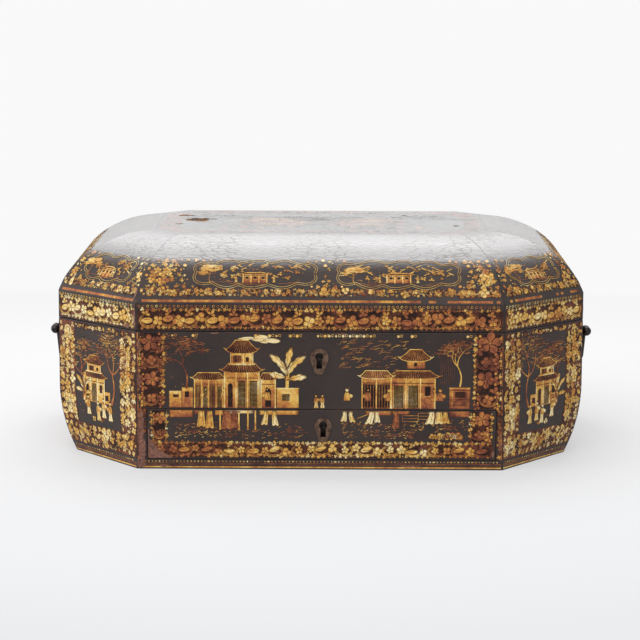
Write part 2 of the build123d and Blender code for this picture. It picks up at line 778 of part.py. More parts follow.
# Drawer box behind the front: bottom board, sides and back standing on it
drawer_length = drawer_box_back - drawer_box_front
drawer_box_middle = (drawer_box_front + drawer_box_back) / 2
drawer_inner_floor = drawer_floor + drawer_bottom_thickness
with BuildPart() as drawer_bottom:
    with Locations((drawer_middle, drawer_box_middle, drawer_floor + drawer_bottom_thickness / 2)):
        Box(drawer_width, drawer_length, drawer_bottom_thickness)
save(drawer_bottom.part, "drawer_bottom")

side_height = drawer_side_height - drawer_bottom_thickness
for side, name in ((-1, "left"), (1, "right")):
    edge = drawer_left if side < 0 else drawer_right
    with BuildPart() as drawer_side:
        with Locations((edge - side * drawer_wall / 2, drawer_box_middle, drawer_inner_floor + side_height / 2)):
            Box(drawer_wall, drawer_length, side_height)
    save(drawer_side.part, f"drawer_{name}_side")

inner_width = drawer_width - 2 * drawer_wall
with BuildPart() as drawer_back:
    with Locations((drawer_middle, drawer_box_back - drawer_wall / 2, drawer_inner_floor + side_height / 2)):
        Box(inner_width, drawer_wall, side_height)
save(drawer_back.part, "drawer_back")

# Drawer dividers: a long board across and two boards behind it
with BuildPart() as drawer_long_divider:
    with Locations((drawer_middle, drawer_long_divider_y, drawer_inner_floor + drawer_divider_height / 2)):
        Box(inner_width, drawer_divider_thickness, drawer_divider_height)
save(drawer_long_divider.part, "drawer_long_divider")

cross_front = drawer_long_divider_y + drawer_divider_thickness / 2
cross_length = drawer_box_back - drawer_wall - cross_front
cross_boards = []
for side in (-1, 1):
    with BuildPart() as cross_board:
        with Locations((drawer_middle + side * drawer_cross_divider_x, cross_front + cross_length / 2,
                        drawer_inner_floor + drawer_divider_height / 2)):
            Box(drawer_divider_thickness, cross_length, drawer_divider_height)
    cross_boards.append(cross_board.part)
save_group(cross_boards, "drawer_cross_dividers")

# Tray: an eight-sided rim on a thin bottom, rebated for the covers
with BuildPart() as tray_bottom:
    with BuildSketch(Plane.XY.offset(tray_floor)):
        with BuildLine():
            Polyline(*octagon(tray_inset), close=True)
        make_face()
    extrude(amount=tray_bottom_thickness)
save(tray_bottom.part, "tray_bottom")

with BuildPart() as tray_rim:
    for inset, low, mode in (
        (tray_inset, tray_floor + tray_bottom_thickness, Mode.ADD),
        (tray_inset + tray_wall, tray_floor + tray_bottom_thickness, Mode.SUBTRACT),
        (tray_inset + tray_wall - cover_rebate_width, tray_top - cover_rebate_depth, Mode.SUBTRACT),
    ):
        with BuildSketch(Plane.XY.offset(low)):
            with BuildLine():
                Polyline(*octagon(inset), close=True)
            make_face()
        extrude(amount=tray_top - low, mode=mode)
save(tray_rim.part, "tray_rim")

# Tray dividers: one each side of the middle, and one between them
tray_inner_floor = tray_floor + tray_bottom_thickness
divider_height = tray_top - tray_inner_floor
tray_inner_half = half_depth - tray_inset - tray_wall
tray_dividers = []
for side in (-1, 1):
    with BuildPart() as tray_divider:
        with Locations((side * tray_divider_x, 0, tray_inner_floor + divider_height / 2)):
            Box(tray_divider_thickness, 2 * tray_inner_half, divider_height)
        with Locations((side * (tray_divider_x + tray_divider_thickness / 2 - cover_rebate_width / 2), 0,
                        tray_top - cover_rebate_depth / 2)):
            Box(cover_rebate_width, 2 * tray_inner_half, cover_rebate_depth, mode=Mode.SUBTRACT)
    tray_dividers.append(tray_divider.part)
save_group(tray_dividers, "tray_cross_dividers")

centre_length = 2 * tray_divider_x - tray_divider_thickness
with BuildPart() as tray_centre_divider:
    with Locations((0, 0, tray_inner_floor + divider_height / 2)):
        Box(centre_length, tray_divider_thickness, divider_height)
save(tray_centre_divider.part, "tray_centre_divider")

# Covers over the two end bays, each with a turned knob
for side, name in ((-1, "left"), (1, "right")):
    with BuildPart() as tray_cover:
        with BuildSketch(Plane.XY.offset(cover_floor)):
            with BuildLine():
                Polyline(*octagon(cover_inset), close=True)
            make_face()
        extrude(amount=cover_thickness)
        split(bisect_by=Plane.YZ.offset(side * cover_inner_x), keep=Keep.TOP if side > 0 else Keep.BOTTOM)
        with Locations((side * knob_x, 0, cover_floor + cover_thickness / 2)):
            Cylinder(knob_spigot_diameter / 2 + screw_slip, cover_thickness, mode=Mode.SUBTRACT)
    save(tray_cover.part, f"{name}_tray_cover")
    cover_top = cover_floor + cover_thickness
    with BuildPart() as cover_knob:
        with Locations((side * knob_x, 0, cover_top + knob_foot_height / 2)):
            Cylinder(knob_foot_diameter / 2, knob_foot_height)
        with Locations((side * knob_x, 0, cover_top + knob_height / 2 - knob_ball_diameter / 4)):
            Cylinder(knob_neck_diameter / 2, knob_height - knob_ball_diameter / 2)
        with Locations((side * knob_x, 0, cover_top + knob_height - knob_ball_diameter / 2)):
            Sphere(knob_ball_diameter / 2)
        with Locations((side * knob_x, 0, cover_top - knob_spigot_length / 2)):
            Cylinder(knob_spigot_diameter / 2, knob_spigot_length)
    save(cover_knob.part, f"{name}_cover_knob")
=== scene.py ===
# %% [markdown]
# # A lacquered sewing box
# The real box is thin wood, covered with many coats of black lacquer, rubbed smooth, and painted with
# gold and red-brown powders: flower borders round the edges and garden scenes inside them. The shapes
# of the wood, locks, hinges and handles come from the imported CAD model, which stays as it is. This
# lesson adds what the eye mostly sees: the lacquer, the painted ornament, the metals, and the studio.

import bpy
import json
import numpy as np
from mathutils import Matrix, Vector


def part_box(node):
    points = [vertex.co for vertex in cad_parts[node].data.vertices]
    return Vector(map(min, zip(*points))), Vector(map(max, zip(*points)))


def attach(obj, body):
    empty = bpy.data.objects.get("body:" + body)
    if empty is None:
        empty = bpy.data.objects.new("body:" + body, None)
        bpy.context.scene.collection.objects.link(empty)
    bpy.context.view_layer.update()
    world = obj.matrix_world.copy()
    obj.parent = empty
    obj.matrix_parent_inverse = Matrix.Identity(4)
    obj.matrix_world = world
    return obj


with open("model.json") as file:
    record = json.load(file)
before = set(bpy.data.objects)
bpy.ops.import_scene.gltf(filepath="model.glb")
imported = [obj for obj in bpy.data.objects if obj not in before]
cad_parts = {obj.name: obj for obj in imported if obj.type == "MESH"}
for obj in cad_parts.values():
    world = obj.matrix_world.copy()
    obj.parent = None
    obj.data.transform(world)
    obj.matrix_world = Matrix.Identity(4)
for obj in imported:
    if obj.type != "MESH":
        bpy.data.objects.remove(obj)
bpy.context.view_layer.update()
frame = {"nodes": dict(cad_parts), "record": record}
nodes = frame["nodes"]
mm = 0.001  # one millimetre in metres

# %% [markdown]
# ## The camera
# The photograph was taken from the front, a little above the box, with a long lens, so the upright
# edges hardly converge. The numbers come from fitting a camera to the box's corners and seams. A
# matrix is used in place of three angles, because the picture is also turned a hair about its own
# middle, and that turn comes last.

# %% Camera
camera_place = (8.5 * mm, -1651.0 * mm, 350.2 * mm)
camera_lens, camera_sensor = 130.97, 36.0  # millimetres
camera_pitch = np.radians(9.293)
camera_turn = 0.0057
camera_roll = 0.004
camera_data = bpy.data.cameras.new("camera")
camera_data.sensor_width = camera_sensor
camera_data.lens = camera_lens
camera = bpy.data.objects.new("camera", camera_data)
bpy.context.scene.collection.objects.link(camera)
camera.matrix_world = (
    Matrix.Translation(camera_place)
    @ Matrix.Rotation(camera_turn, 4, "Z")
    @ Matrix.Rotation(np.pi / 2 - camera_pitch, 4, "X")
    @ Matrix.Rotation(camera_roll, 4, "Z")
)
bpy.context.scene.camera = camera
print("camera at", [round(v, 3) for v in camera.location])

# %% [markdown]
# ## Colours and nodes
# Colours are picked as hex values, the way they look on a screen. Blender's shaders work with linear
# light, so one function turns one into the other. A second small function adds a shader node with its
# settings and links, which keeps each material readable as a list of steps.


# %% Colour and node helpers
def linear(code):
    """sRGB hex to linear light: c/12.92 below 0.04045, else ((c + 0.055) / 1.055) to the 2.4."""
    value = np.array([int(code[i:i + 2], 16) for i in (1, 3, 5)]) / 255
    light = np.where(value <= 0.04045, value / 12.92, ((value + 0.055) / 1.055) ** 2.4)
    return (*light.tolist(), 1.0)


def add_node(shader, kind, inputs=None, stops=None, **settings):
    """Add one node. inputs gives each socket a value, the output it is linked from, or a node, which
    stands for its first output. stops are the places and hex colours of a colour ramp."""
    made = shader.nodes.new(kind)
    for name, value in settings.items():
        setattr(made, name, value)
    for socket, value in (inputs or {}).items():
        if isinstance(value, bpy.types.Node):
            value = value.outputs[0]
        if isinstance(value, bpy.types.NodeSocket):
            shader.links.new(value, made.inputs[socket])
        else:
            made.inputs[socket].default_value = value
    if stops:
        elements = made.color_ramp.elements
        while len(elements) < len(stops):
            elements.new(1.0)
        for element, (place, code) in zip(elements, stops):
            element.position = place
            element.color = linear(code)
    return made


def new_material(name):
    """A material with an empty tree of nodes, and the place on the object that its patterns start
    from."""
    made = bpy.data.materials.new(name)
    made.use_nodes = True
    made.node_tree.nodes.clear()
    return made, made.node_tree, add_node(made.node_tree, "ShaderNodeTexCoord").outputs["Object"]


print("mid grey is", round(linear("#808080")[0], 3), "in linear light")

# %% [markdown]
# ## The studio
# The box stands on a pale sweep: a floor that runs up into a white background with no line between
# them. A curved sheet would do that too, but only from one side. Here the floor is one large disc,
# whose rings lie closer together near the box, and the rest is done by its material.

# %% Floor disc
floor_radius = 6.0
floor_rings = 24
floor_sides = 96
turn = np.linspace(0, 2 * np.pi, floor_sides, endpoint=False)
reach = floor_radius * (np.arange(1, floor_rings + 1) / floor_rings) ** 2
floor_points = np.concatenate([
    [[0, 0, 0]],
    np.stack([
        np.outer(reach, np.cos(turn)), np.outer(reach, np.sin(turn)), np.zeros((floor_rings, floor_sides)),
    ], axis=-1).reshape(-1, 3),
])
floor_faces = [(0, 1 + i, 1 + (i + 1) % floor_sides) for i in range(floor_sides)] + [
    (1 + r * floor_sides + i, 1 + (r + 1) * floor_sides + i,
     1 + (r + 1) * floor_sides + (i + 1) % floor_sides, 1 + r * floor_sides + (i + 1) % floor_sides)
    for r in range(floor_rings - 1) for i in range(floor_sides)
]
floor_mesh = bpy.data.meshes.new("floor")
floor_mesh.from_pydata(floor_points.tolist(), [], floor_faces)
floor = bpy.data.objects.new("floor", floor_mesh)
bpy.context.scene.collection.objects.link(floor)
print("floor", len(floor_faces), "faces")

# %% [markdown]
# ## White all round
# Near the box the floor is matt white paper that catches the shadow, with glow mixed into it there as
# painted light that lightens that shadow. Further out it turns into an even glow, with painted shade
# that makes it a little greyer in front, and behind the box into the same white as the world. In the
# world, Light Path's camera, glossy and transmission rays see that white, while the light that falls on
# the box is set apart from it, at a plain level.

# %% White sweep material
background_white = "#f9f9f9"
paper_reach, glow_reach = 0.2, 0.75  # metres from the middle
# share of glow where the floor meets the box: painted light that lightens the box's shadow
painted_light_at_box = 0.52
wall_start, wall_full = 0.64, 0.68
shade_start, shade_end = -0.5, 0.4
paper, shader, where = new_material("white_sweep")
away = add_node(shader, "ShaderNodeVectorMath", {0: where}, operation="LENGTH")
fade = add_node(shader, "ShaderNodeMapRange", {
    "Value": away.outputs["Value"], "From Min": paper_reach, "From Max": glow_reach, "To Min": painted_light_at_box,
}, interpolation_type="SMOOTHERSTEP")
parts = add_node(shader, "ShaderNodeSeparateXYZ", {0: where})
behind = add_node(shader, "ShaderNodeMapRange", {
    "Value": parts.outputs["Y"], "From Min": wall_start, "From Max": wall_full,
})
matt = add_node(shader, "ShaderNodeBsdfDiffuse", {"Color": linear("#dfdfe0")})
deep = add_node(shader, "ShaderNodeMapRange", {
    "Value": parts.outputs["Y"], "From Min": shade_start, "From Max": shade_end,
})
# painted shade: the glow is greyer in front than behind
shade = add_node(shader, "ShaderNodeValToRGB", {"Fac": deep}, stops=[(0.0, "#e8eaec"), (1.0, "#f6f6f7")])
glow = add_node(shader, "ShaderNodeEmission", {"Color": shade})
wall = add_node(shader, "ShaderNodeEmission", {"Color": linear(background_white)})
near = add_node(shader, "ShaderNodeMixShader", {0: fade, 1: matt, 2: glow})
both = add_node(shader, "ShaderNodeMixShader", {0: behind, 1: near, 2: wall})
add_node(shader, "ShaderNodeOutputMaterial", {"Surface": both})
floor_mesh.materials.append(paper)
print("white sweep", len(shader.nodes), "nodes")

# %% World
light_level = 0.46
world = bpy.data.worlds.new("studio")
world.use_nodes = True
bpy.context.scene.world = world
shader = world.node_tree
shader.nodes.clear()
light_on_object = add_node(shader, "ShaderNodeBackground", {
    "Color": linear("#ffffff"), "Strength": light_level,
})
seen = add_node(shader, "ShaderNodeBackground", {"Color": linear(background_white)})
ray = add_node(shader, "ShaderNodeLightPath")
mirror = add_node(shader, "ShaderNodeMath", {
    0: ray.outputs["Is Glossy Ray"], 1: ray.outputs["Is Transmission Ray"],
}, operation="MAXIMUM")
shown = add_node(shader, "ShaderNodeMath", {0: mirror, 1: ray.outputs["Is Camera Ray"]}, operation="MAXIMUM")
choice = add_node(shader, "ShaderNodeMixShader", {0: shown, 1: light_on_object, 2: seen})
add_node(shader, "ShaderNodeOutputWorld", {"Surface": choice})
bpy.context.scene.view_settings.view_transform = "Standard"
print("world light", light_level)

# %% [markdown]
# ## Lamps
# The photograph has soft light from all sides, and one thing more: the lid mirrors large pale sheets
# behind and above it, from its top down to a sharp line across the cove. Three soft boxes at the back
# stand where that mirror image needs them, and two at the front and the left fill in.


# %% Soft boxes
def soft_box(name, place, aim, size, power):
    """A rectangular lamp at place, turned to aim, both in metres."""
    data = bpy.data.lights.new(name, "AREA")
    data.shape = "RECTANGLE"
    data.size, data.size_y = size
    data.energy = power
    lamp = bpy.data.objects.new(name, data)
    bpy.context.scene.collection.objects.link(lamp)
    backwards = np.array(place, float) - np.array(aim, float)
    backwards /= np.linalg.norm(backwards)
    sideways = np.cross((0, 0, 1), backwards)
    sideways /= np.linalg.norm(sideways)
    upwards = np.cross(backwards, sideways)
    turned = np.eye(4)
    turned[:3, :3] = np.stack([sideways, upwards, backwards], axis=1)
    turned[:3, 3] = place
    lamp.matrix_world = Matrix(turned.tolist())


# Each has its place, what it is turned to, its width and height, all in metres, and its power in watts
lamps = {
    "front_box": ((-0.4, -1.5, 1.9), (0, 0, 0.08), (3.0, 2.0), 30),
    "left_box": ((-2.2, -0.2, 0.9), (0, 0, 0.08), (2.2, 2.0), 22),
    "upper_back_box": ((0.0, 0.80, 1.50), (0, -0.08, 0.14), (1.4, 0.95), 10),
    "low_back_box": ((0.0, 1.8, 1.40), (0, 0, 0.14), (2.8, 1.2), 15),
    "overhead_box": ((0.0, 0.29, 1.69), (0, -0.1, 0.14), (1.8, 0.3), 5),
}
for name, settings in lamps.items():
    soft_box(name, *settings)
print(len(lamps), "lamps")

# %% [markdown]
# ## The lacquer film
# Lacquer is a tree sap that sets into a hard, glossy film, and with age it cracks into a fine net as
# the wood under it moves. One function makes that film for every surface it lies on, black or
# painted. Voronoi cells, bent by noise and drawn out along the boards, give the net. It works as
# bumps, and where a crack has opened, the shine is lost too. A second coat, which mirrors more, grows
# with height over the upper lid, where hands and cloths have polished it most.

# %% The net of cracks
crack_cell = 2.6 * mm
crack_slope = 0.14  # the sides of a crack reach this far into its cell
along_boards = 0.3  # the net is this much slower along the boards than across them
cloud_size = 45.0 * mm
cloud_bend = 0.012
grit_size = 2.5 * mm


def crack_net(shader, where):
    """Clouds of noise, cells bent by them and drawn out along the boards, and a height for bumps: it
    falls to 0 in the cracks between the cells, with fine grit on it."""
    cloud = add_node(shader, "ShaderNodeTexNoise", {"Vector": where, "Scale": 1 / cloud_size, "Detail": 4.0})
    bent = add_node(shader, "ShaderNodeVectorMath", {
        0: cloud.outputs["Color"], 1: (cloud_bend, cloud_bend, cloud_bend), 2: where,
    }, operation="MULTIPLY_ADD")
    drawn = add_node(shader, "ShaderNodeVectorMath", {
        0: bent, 1: (along_boards, 1.0, 1.0),
    }, operation="MULTIPLY")
    cells = add_node(shader, "ShaderNodeTexVoronoi", {
        "Vector": drawn, "Scale": 1 / crack_cell,
    }, feature="DISTANCE_TO_EDGE")
    crack = add_node(shader, "ShaderNodeMapRange", {
        "Value": cells.outputs["Distance"], "From Max": crack_slope,
    })
    grit = add_node(shader, "ShaderNodeTexNoise", {
        "Vector": drawn, "Scale": 1 / grit_size, "Detail": 6.0, "Roughness": 0.7,
    })
    uneven = add_node(shader, "ShaderNodeMath", {
        0: grit.outputs["Fac"], 1: 0.8, 2: crack,
    }, operation="MULTIPLY_ADD")
    return cloud, cells, uneven


print("cracks", round(crack_cell / mm, 1), "mm apart")

# %% Film
crack_relief = 0.2 * mm
polish_heights = (129 * mm, 139 * mm)
polish_full = 0.8
polish_steps = ((0.4, 0.06), (0.8, 0.4))  # between its start and its full strength
dull_rough, polished_rough = 0.44, 0.26
coat_ior = 2.0  # above lacquer's own 1.5, for the coats that lie on each other


def film(shader, where, colour, crack_depth, normal=None, shine=0.5):
    """The glossy film over a colour. Its bumps are the net of cracks, its second coat follows the
    polish curve of the height, and the coat is missing in open cracks."""
    cloud, cells, uneven = crack_net(shader, where)
    parts = add_node(shader, "ShaderNodeSeparateXYZ", {0: where})
    height = add_node(shader, "ShaderNodeMapRange", {
        "Value": parts.outputs["Z"], "From Min": polish_heights[0], "From Max": polish_heights[1],
    })
    polished = add_node(shader, "ShaderNodeFloatCurve", {"Value": height})
    curve = polished.mapping.curves[0]
    for point, place in zip(curve.points, ((0.0, 0.0), (1.0, polish_full))):
        point.location = place
    for place in polish_steps:
        curve.points.new(*place)
    polished.mapping.update()
    glossy = add_node(shader, "ShaderNodeMapRange", {
        "Value": polished, "From Max": polish_full, "To Min": shine, "To Max": 0.5,
    })
    depth = add_node(shader, "ShaderNodeMath", {
        0: polished, 1: 0.1, 2: crack_depth,
    }, operation="MULTIPLY_ADD")
    bumps = add_node(shader, "ShaderNodeBump", {
        "Height": uneven, "Strength": depth, "Distance": crack_relief,
    })
    if normal is not None:
        shader.links.new(normal.outputs[0], bumps.inputs["Normal"])
    dull = add_node(shader, "ShaderNodeMapRange", {
        "Value": polished, "To Min": dull_rough, "To Max": polished_rough,
    })
    # Some cracks are open and some have closed, in clouds
    gap = add_node(shader, "ShaderNodeMapRange", {
        "Value": cells.outputs["Distance"], "From Min": 0.1, "From Max": 0.02,
    })
    open_here = add_node(shader, "ShaderNodeMapRange", {
        "Value": cloud.outputs["Fac"], "From Min": 0.42, "From Max": 0.58, "To Min": 0.1, "To Max": 0.6,
    })
    lost = add_node(shader, "ShaderNodeMath", {0: gap, 1: open_here}, operation="MULTIPLY")
    whole = add_node(shader, "ShaderNodeMapRange", {"Value": lost, "To Min": 1.0, "To Max": 0.0})
    coat = add_node(shader, "ShaderNodeMath", {0: whole, 1: polished}, operation="MULTIPLY")
    return add_node(shader, "ShaderNodeBsdfPrincipled", {
        "Base Color": colour, "Roughness": dull, "Normal": bumps, "Specular IOR Level": glossy,
        "Coat Weight": coat, "Coat Roughness": 0.24, "Coat IOR": coat_ior, "Coat Normal": bumps,
    })


print("polish full at", round(polish_heights[1] / mm), "mm up")

# %% [markdown]
# ## Black lacquer
# Old black lacquer is never quite black: it browns with light, and its edges rub through to the
# red-brown ground below. Painting those rims by hand would take a map for each board. A Bevel node
# finds the edges instead, where its rounded normal leaves the true one, and noise breaks the rims up.
# Every scale is one over a size in metres, so it can be read in millimetres.

# %% Lacquer
rub_width = 1.2 * mm
rub_size = 6 * mm
rub_colour = "#6b4636"


def lacquer(name, dark, brown, crack_depth):
    """Aged lacquer: dark and brown are the film's two tones. The rims are where the dot product of
    the rounded normal and the true one falls below 1."""
    made, shader, where = new_material(name)
    cloud = add_node(shader, "ShaderNodeTexNoise", {
        "Vector": where, "Scale": 1 / cloud_size, "Detail": 4.0, "Roughness": 0.6,
    })
    tint = add_node(shader, "ShaderNodeValToRGB", {"Fac": cloud.outputs["Fac"]},
                    stops=[(0.35, dark), (0.7, brown)])
    rounded = add_node(shader, "ShaderNodeBevel", {"Radius": rub_width}, samples=6)
    true = add_node(shader, "ShaderNodeNewGeometry")
    match = add_node(shader, "ShaderNodeVectorMath", {
        0: rounded, 1: true.outputs["True Normal"],
    }, operation="DOT_PRODUCT")
    grit = add_node(shader, "ShaderNodeTexNoise", {
        "Vector": where, "Scale": 1 / rub_size, "Detail": 6.0, "Roughness": 0.7,
    })
    edge = add_node(shader, "ShaderNodeMapRange", {
        "Value": match.outputs["Value"], "From Min": 0.985, "From Max": 0.75,
    })
    rubbed = add_node(shader, "ShaderNodeMapRange", {
        "Value": grit.outputs["Fac"], "From Min": 0.46, "From Max": 0.64, "To Max": 0.7,
    })
    bare = add_node(shader, "ShaderNodeMath", {0: edge, 1: rubbed}, operation="MULTIPLY")
    colour = add_node(shader, "ShaderNodeMix", {
        "Factor": bare, 6: tint, 7: linear(rub_colour),
    }, data_type="RGBA")
    skin = film(shader, where, colour.outputs[2], crack_depth, rounded, shine=0.25)
    add_node(shader, "ShaderNodeOutputMaterial", {"Surface": skin})
    return made


black_lacquer = lacquer("aged_black_lacquer", "#2d2523", "#3d322e", 0.2)
top_lacquer = lacquer("crazed_top_lacquer", "#211b1a", "#332a28", 0.3)
print("lacquers made")

# %% [markdown]
# ## Inner wood
# Inside, the trays and the drawer are plain brown wood, oiled and rubbed, its grain running along the
# box. Noise that is drawn out along one axis gives straight grain, which a wave pattern would make
# too even.


# %% Wood
def grained_wood(name, light, dark, grain_width, along):
    """Straight grain: noise drawn out along one axis by the factor in along."""
    made, shader, where = new_material(name)
    drawn = add_node(shader, "ShaderNodeMapping", {"Vector": where, "Scale": along})
    grain = add_node(shader, "ShaderNodeTexNoise", {
        "Vector": drawn, "Scale": 1 / grain_width, "Detail": 6.0, "Roughness": 0.65,
        "Distortion": 0.4,
    })
    tint = add_node(shader, "ShaderNodeValToRGB", {"Fac": grain.outputs["Fac"]},
                    stops=[(0.3, dark), (0.7, light)])
    bumps = add_node(shader, "ShaderNodeBump", {
        "Height": grain.outputs["Fac"], "Strength": 0.3, "Distance": 0.2 * mm,
    })
    skin = add_node(shader, "ShaderNodeBsdfPrincipled", {
        "Base Color": tint, "Roughness": 0.5, "Normal": bumps,
    })
    add_node(shader, "ShaderNodeOutputMaterial", {"Surface": skin})
    return made


inner_wood = grained_wood("oiled_inner_wood", "#8a5a3a", "#5a3420", 3.0 * mm, (0.08, 1.0, 1.0))
print("wood made")

# %% [markdown]
# ## Metals
# The handles are metal gone black with age, the keyhole plates a dull brown, and the hinges and the
# lock parts yellow brass. All three start from the usual values for metal, full metallic and a mid
# roughness. Noise then mixes the bright metal with the dull skin that grows on it and roughens it,
# and a small bevel catches the light on the edges.


# %% Patina
def aged_metal(name, bright, dull, spot_size, rough):
    """Metal with a patina: noise mixes the bright metal with its dull skin."""
    made, shader, where = new_material(name)
    spots = add_node(shader, "ShaderNodeTexNoise", {
        "Vector": where, "Scale": 1 / spot_size, "Detail": 6.0, "Roughness": 0.65,
    })
    tint = add_node(shader, "ShaderNodeValToRGB", {"Fac": spots.outputs["Fac"]},
                    stops=[(0.36, dull), (0.66, bright)])
    matt = add_node(shader, "ShaderNodeMapRange", {
        "Value": spots.outputs["Fac"], "To Min": rough + 0.2, "To Max": rough - 0.1,
    })
    rounded = add_node(shader, "ShaderNodeBevel", {"Radius": 0.3 * mm}, samples=6)
    bumps = add_node(shader, "ShaderNodeBump", {
        "Height": spots.outputs["Fac"], "Strength": 0.25, "Distance": 0.1 * mm,
        "Normal": rounded,
    })
    skin = add_node(shader, "ShaderNodeBsdfPrincipled", {
        "Base Color": tint, "Metallic": 1.0, "Roughness": matt,
        "Normal": bumps,
    })
    add_node(shader, "ShaderNodeOutputMaterial", {"Surface": skin})
    return made


plate_metal = aged_metal("darkened_plate_metal", "#7b6455", "#4e3c33", 3.0 * mm, 0.42)
handle_metal = aged_metal("blackened_handle_metal", "#4c4744", "#211d1c", 2.0 * mm, 0.4)
old_brass = aged_metal("old_brass", "#b5935a", "#6d5230", 2.5 * mm, 0.38)
print("metals made")

# %% [markdown]
# ## Bone
# The little knobs on the tray's covers are turned from bone: cream, with fine fibres along it, a
# satin polish, and a little light that goes in and comes out again.

# %% Turned bone
turned_bone, shader, where = new_material("turned_bone")
drawn = add_node(shader, "ShaderNodeMapping", {"Vector": where, "Scale": (1.0, 1.0, 0.2)})
fibres = add_node(shader, "ShaderNodeTexNoise", {"Vector": drawn, "Scale": 1 / (0.8 * mm), "Detail": 4.0})
tint = add_node(shader, "ShaderNodeValToRGB", {"Fac": fibres.outputs["Fac"]},
                stops=[(0.35, "#cdbb97"), (0.65, "#e9dfc6")])
skin = add_node(shader, "ShaderNodeBsdfPrincipled", {
    "Base Color": tint, "Roughness": 0.35, "Subsurface Weight": 0.2,
    "Subsurface Scale": 1.0 * mm,
})
add_node(shader, "ShaderNodeOutputMaterial", {"Surface": skin})
print("bone made")

# %% [markdown]
# ## Finishes on the CAD nodes
# Each node says what slot of material it belongs to, and each slot has its finish. A few nodes differ
# from their slot: the lock cases take the blackened handle metal as painted shade, for the dark inside
# their mortises, the keyhole plates are browner than the handles, and the top board is crazed more
# deeply than the rest.

# %% Each CAD node gets its finish
finish_of_slot = {
    "lacquered_wood": black_lacquer, "inner_wood": inner_wood, "dark_metal": handle_metal,
    "old_brass": old_brass, "turned_bone": turned_bone,
}
slot_of = {part["node"]: part["material_slot"] for part in frame["record"]["subparts"]}
own_finish = {
    # The lock cases get the blackened metal as painted shade for their deep mortises
    "lid_lock_case": handle_metal, "drawer_lock_case": handle_metal,
    "case_keyhole_plate": plate_metal, "drawer_keyhole_plate": plate_metal, "lid_top": top_lacquer,
}
for name, item in nodes.items():
    finish = own_finish.get(name, finish_of_slot[slot_of[name]])
    item.data.materials.clear()
    item.data.materials.append(finish)
print("finishes on", len(nodes), "nodes")

# %% [markdown]
# ## Painted gold
# The painter laid a red-brown ground, dusted gold powder on it while it was tacky, and shaded it from
# pale gold to red. So one material can serve every stroke, if each stroke carries a number: its tone,
# from 0, the darkest brown, to 1, the palest gold. A second number, rim, is the distance to the edge
# in millimetres, and the red-brown ground shows past the gold there. Both are attributes on the mesh.
# Noise at three sizes thins the gold in patches, dusts it and wears it in flecks.

# %% Gold material
dust_size, patina_size, fleck_size = 2.2 * mm, 13 * mm, 0.7 * mm
dust_shift, patina_shift = 0.16, 0.17
painted_gold, shader, where = new_material("gold_on_red_brown_lacquer")
tone = add_node(shader, "ShaderNodeAttribute", attribute_name="tone")
rim = add_node(shader, "ShaderNodeAttribute", attribute_name="rim")
dust = add_node(shader, "ShaderNodeTexNoise", {
    "Vector": where, "Scale": 1 / dust_size, "Detail": 5.0, "Roughness": 0.7,
})
shift = add_node(shader, "ShaderNodeMapRange", {
    "Value": dust.outputs["Fac"], "From Min": 0.25, "From Max": 0.75,
    "To Min": -dust_shift, "To Max": dust_shift,
})
patina = add_node(shader, "ShaderNodeTexNoise", {
    "Vector": where, "Scale": 1 / patina_size, "Detail": 2.0, "Roughness": 0.6,
})
thinned = add_node(shader, "ShaderNodeMapRange", {
    "Value": patina.outputs["Fac"], "From Min": 0.3, "From Max": 0.7,
    "To Min": -patina_shift, "To Max": patina_shift,
})
shifts = add_node(shader, "ShaderNodeMath", {0: thinned, 1: shift}, operation="ADD")
shaded = add_node(shader, "ShaderNodeMath", {0: tone.outputs["Fac"], 1: shifts}, operation="ADD")
gold = add_node(shader, "ShaderNodeValToRGB", {"Fac": shaded}, stops=[
    (0.0, "#241815"), (0.15, "#43281f"), (0.35, "#804835"), (0.5, "#ac683f"), (0.65, "#cc9144"),
    (0.8, "#e6ba62"), (1.0, "#f6e4ae"),
])
flecks = add_node(shader, "ShaderNodeTexNoise", {
    "Vector": where, "Scale": 1 / fleck_size, "Detail": 3.0, "Roughness": 0.6,
})
worn = add_node(shader, "ShaderNodeMapRange", {
    "Value": flecks.outputs["Fac"], "From Min": 0.58, "From Max": 0.68, "To Max": 0.75,
})
edge = add_node(shader, "ShaderNodeMapRange", {
    "Value": rim.outputs["Fac"], "From Min": 0.45, "From Max": 0.05, "To Max": 0.9,
})
lost = add_node(shader, "ShaderNodeMath", {0: worn, 1: edge}, operation="MAXIMUM")
colour = add_node(shader, "ShaderNodeMix", {"Factor": lost, 6: gold, 7: linear("#4a281f")}, data_type="RGBA")
skin = film(shader, where, colour.outputs[2], 0.25, shine=0.12)
add_node(shader, "ShaderNodeOutputMaterial", {"Surface": skin})
print("gold made")

# %% [markdown]
# ## Strokes and blobs
# A lacquer painter builds everything from two touches of the brush: a blob, which is a leaf, a petal
# or a roof, and a stroke, which is a stem or a line. Here both are thin closed solids. A blob is a
# ring of points round a middle that stands a little proud, and a stroke is a strip with a keel sunk
# below the surface. They are drawn flat, in millimetres across and up a face, and bent onto the box
# afterwards, so any motif can go on any face. A picture in a material would be quicker, but it would
# blur close up and have no relief.

# %% The drawing
first_lift = 0.025  # height of the lowest layer of paint over the lacquer, in millimetres
layer_lift = 0.05
layer_scatter = 0.7  # of the step from one layer to the next
blob_crown = 0.02
sink = 0.12


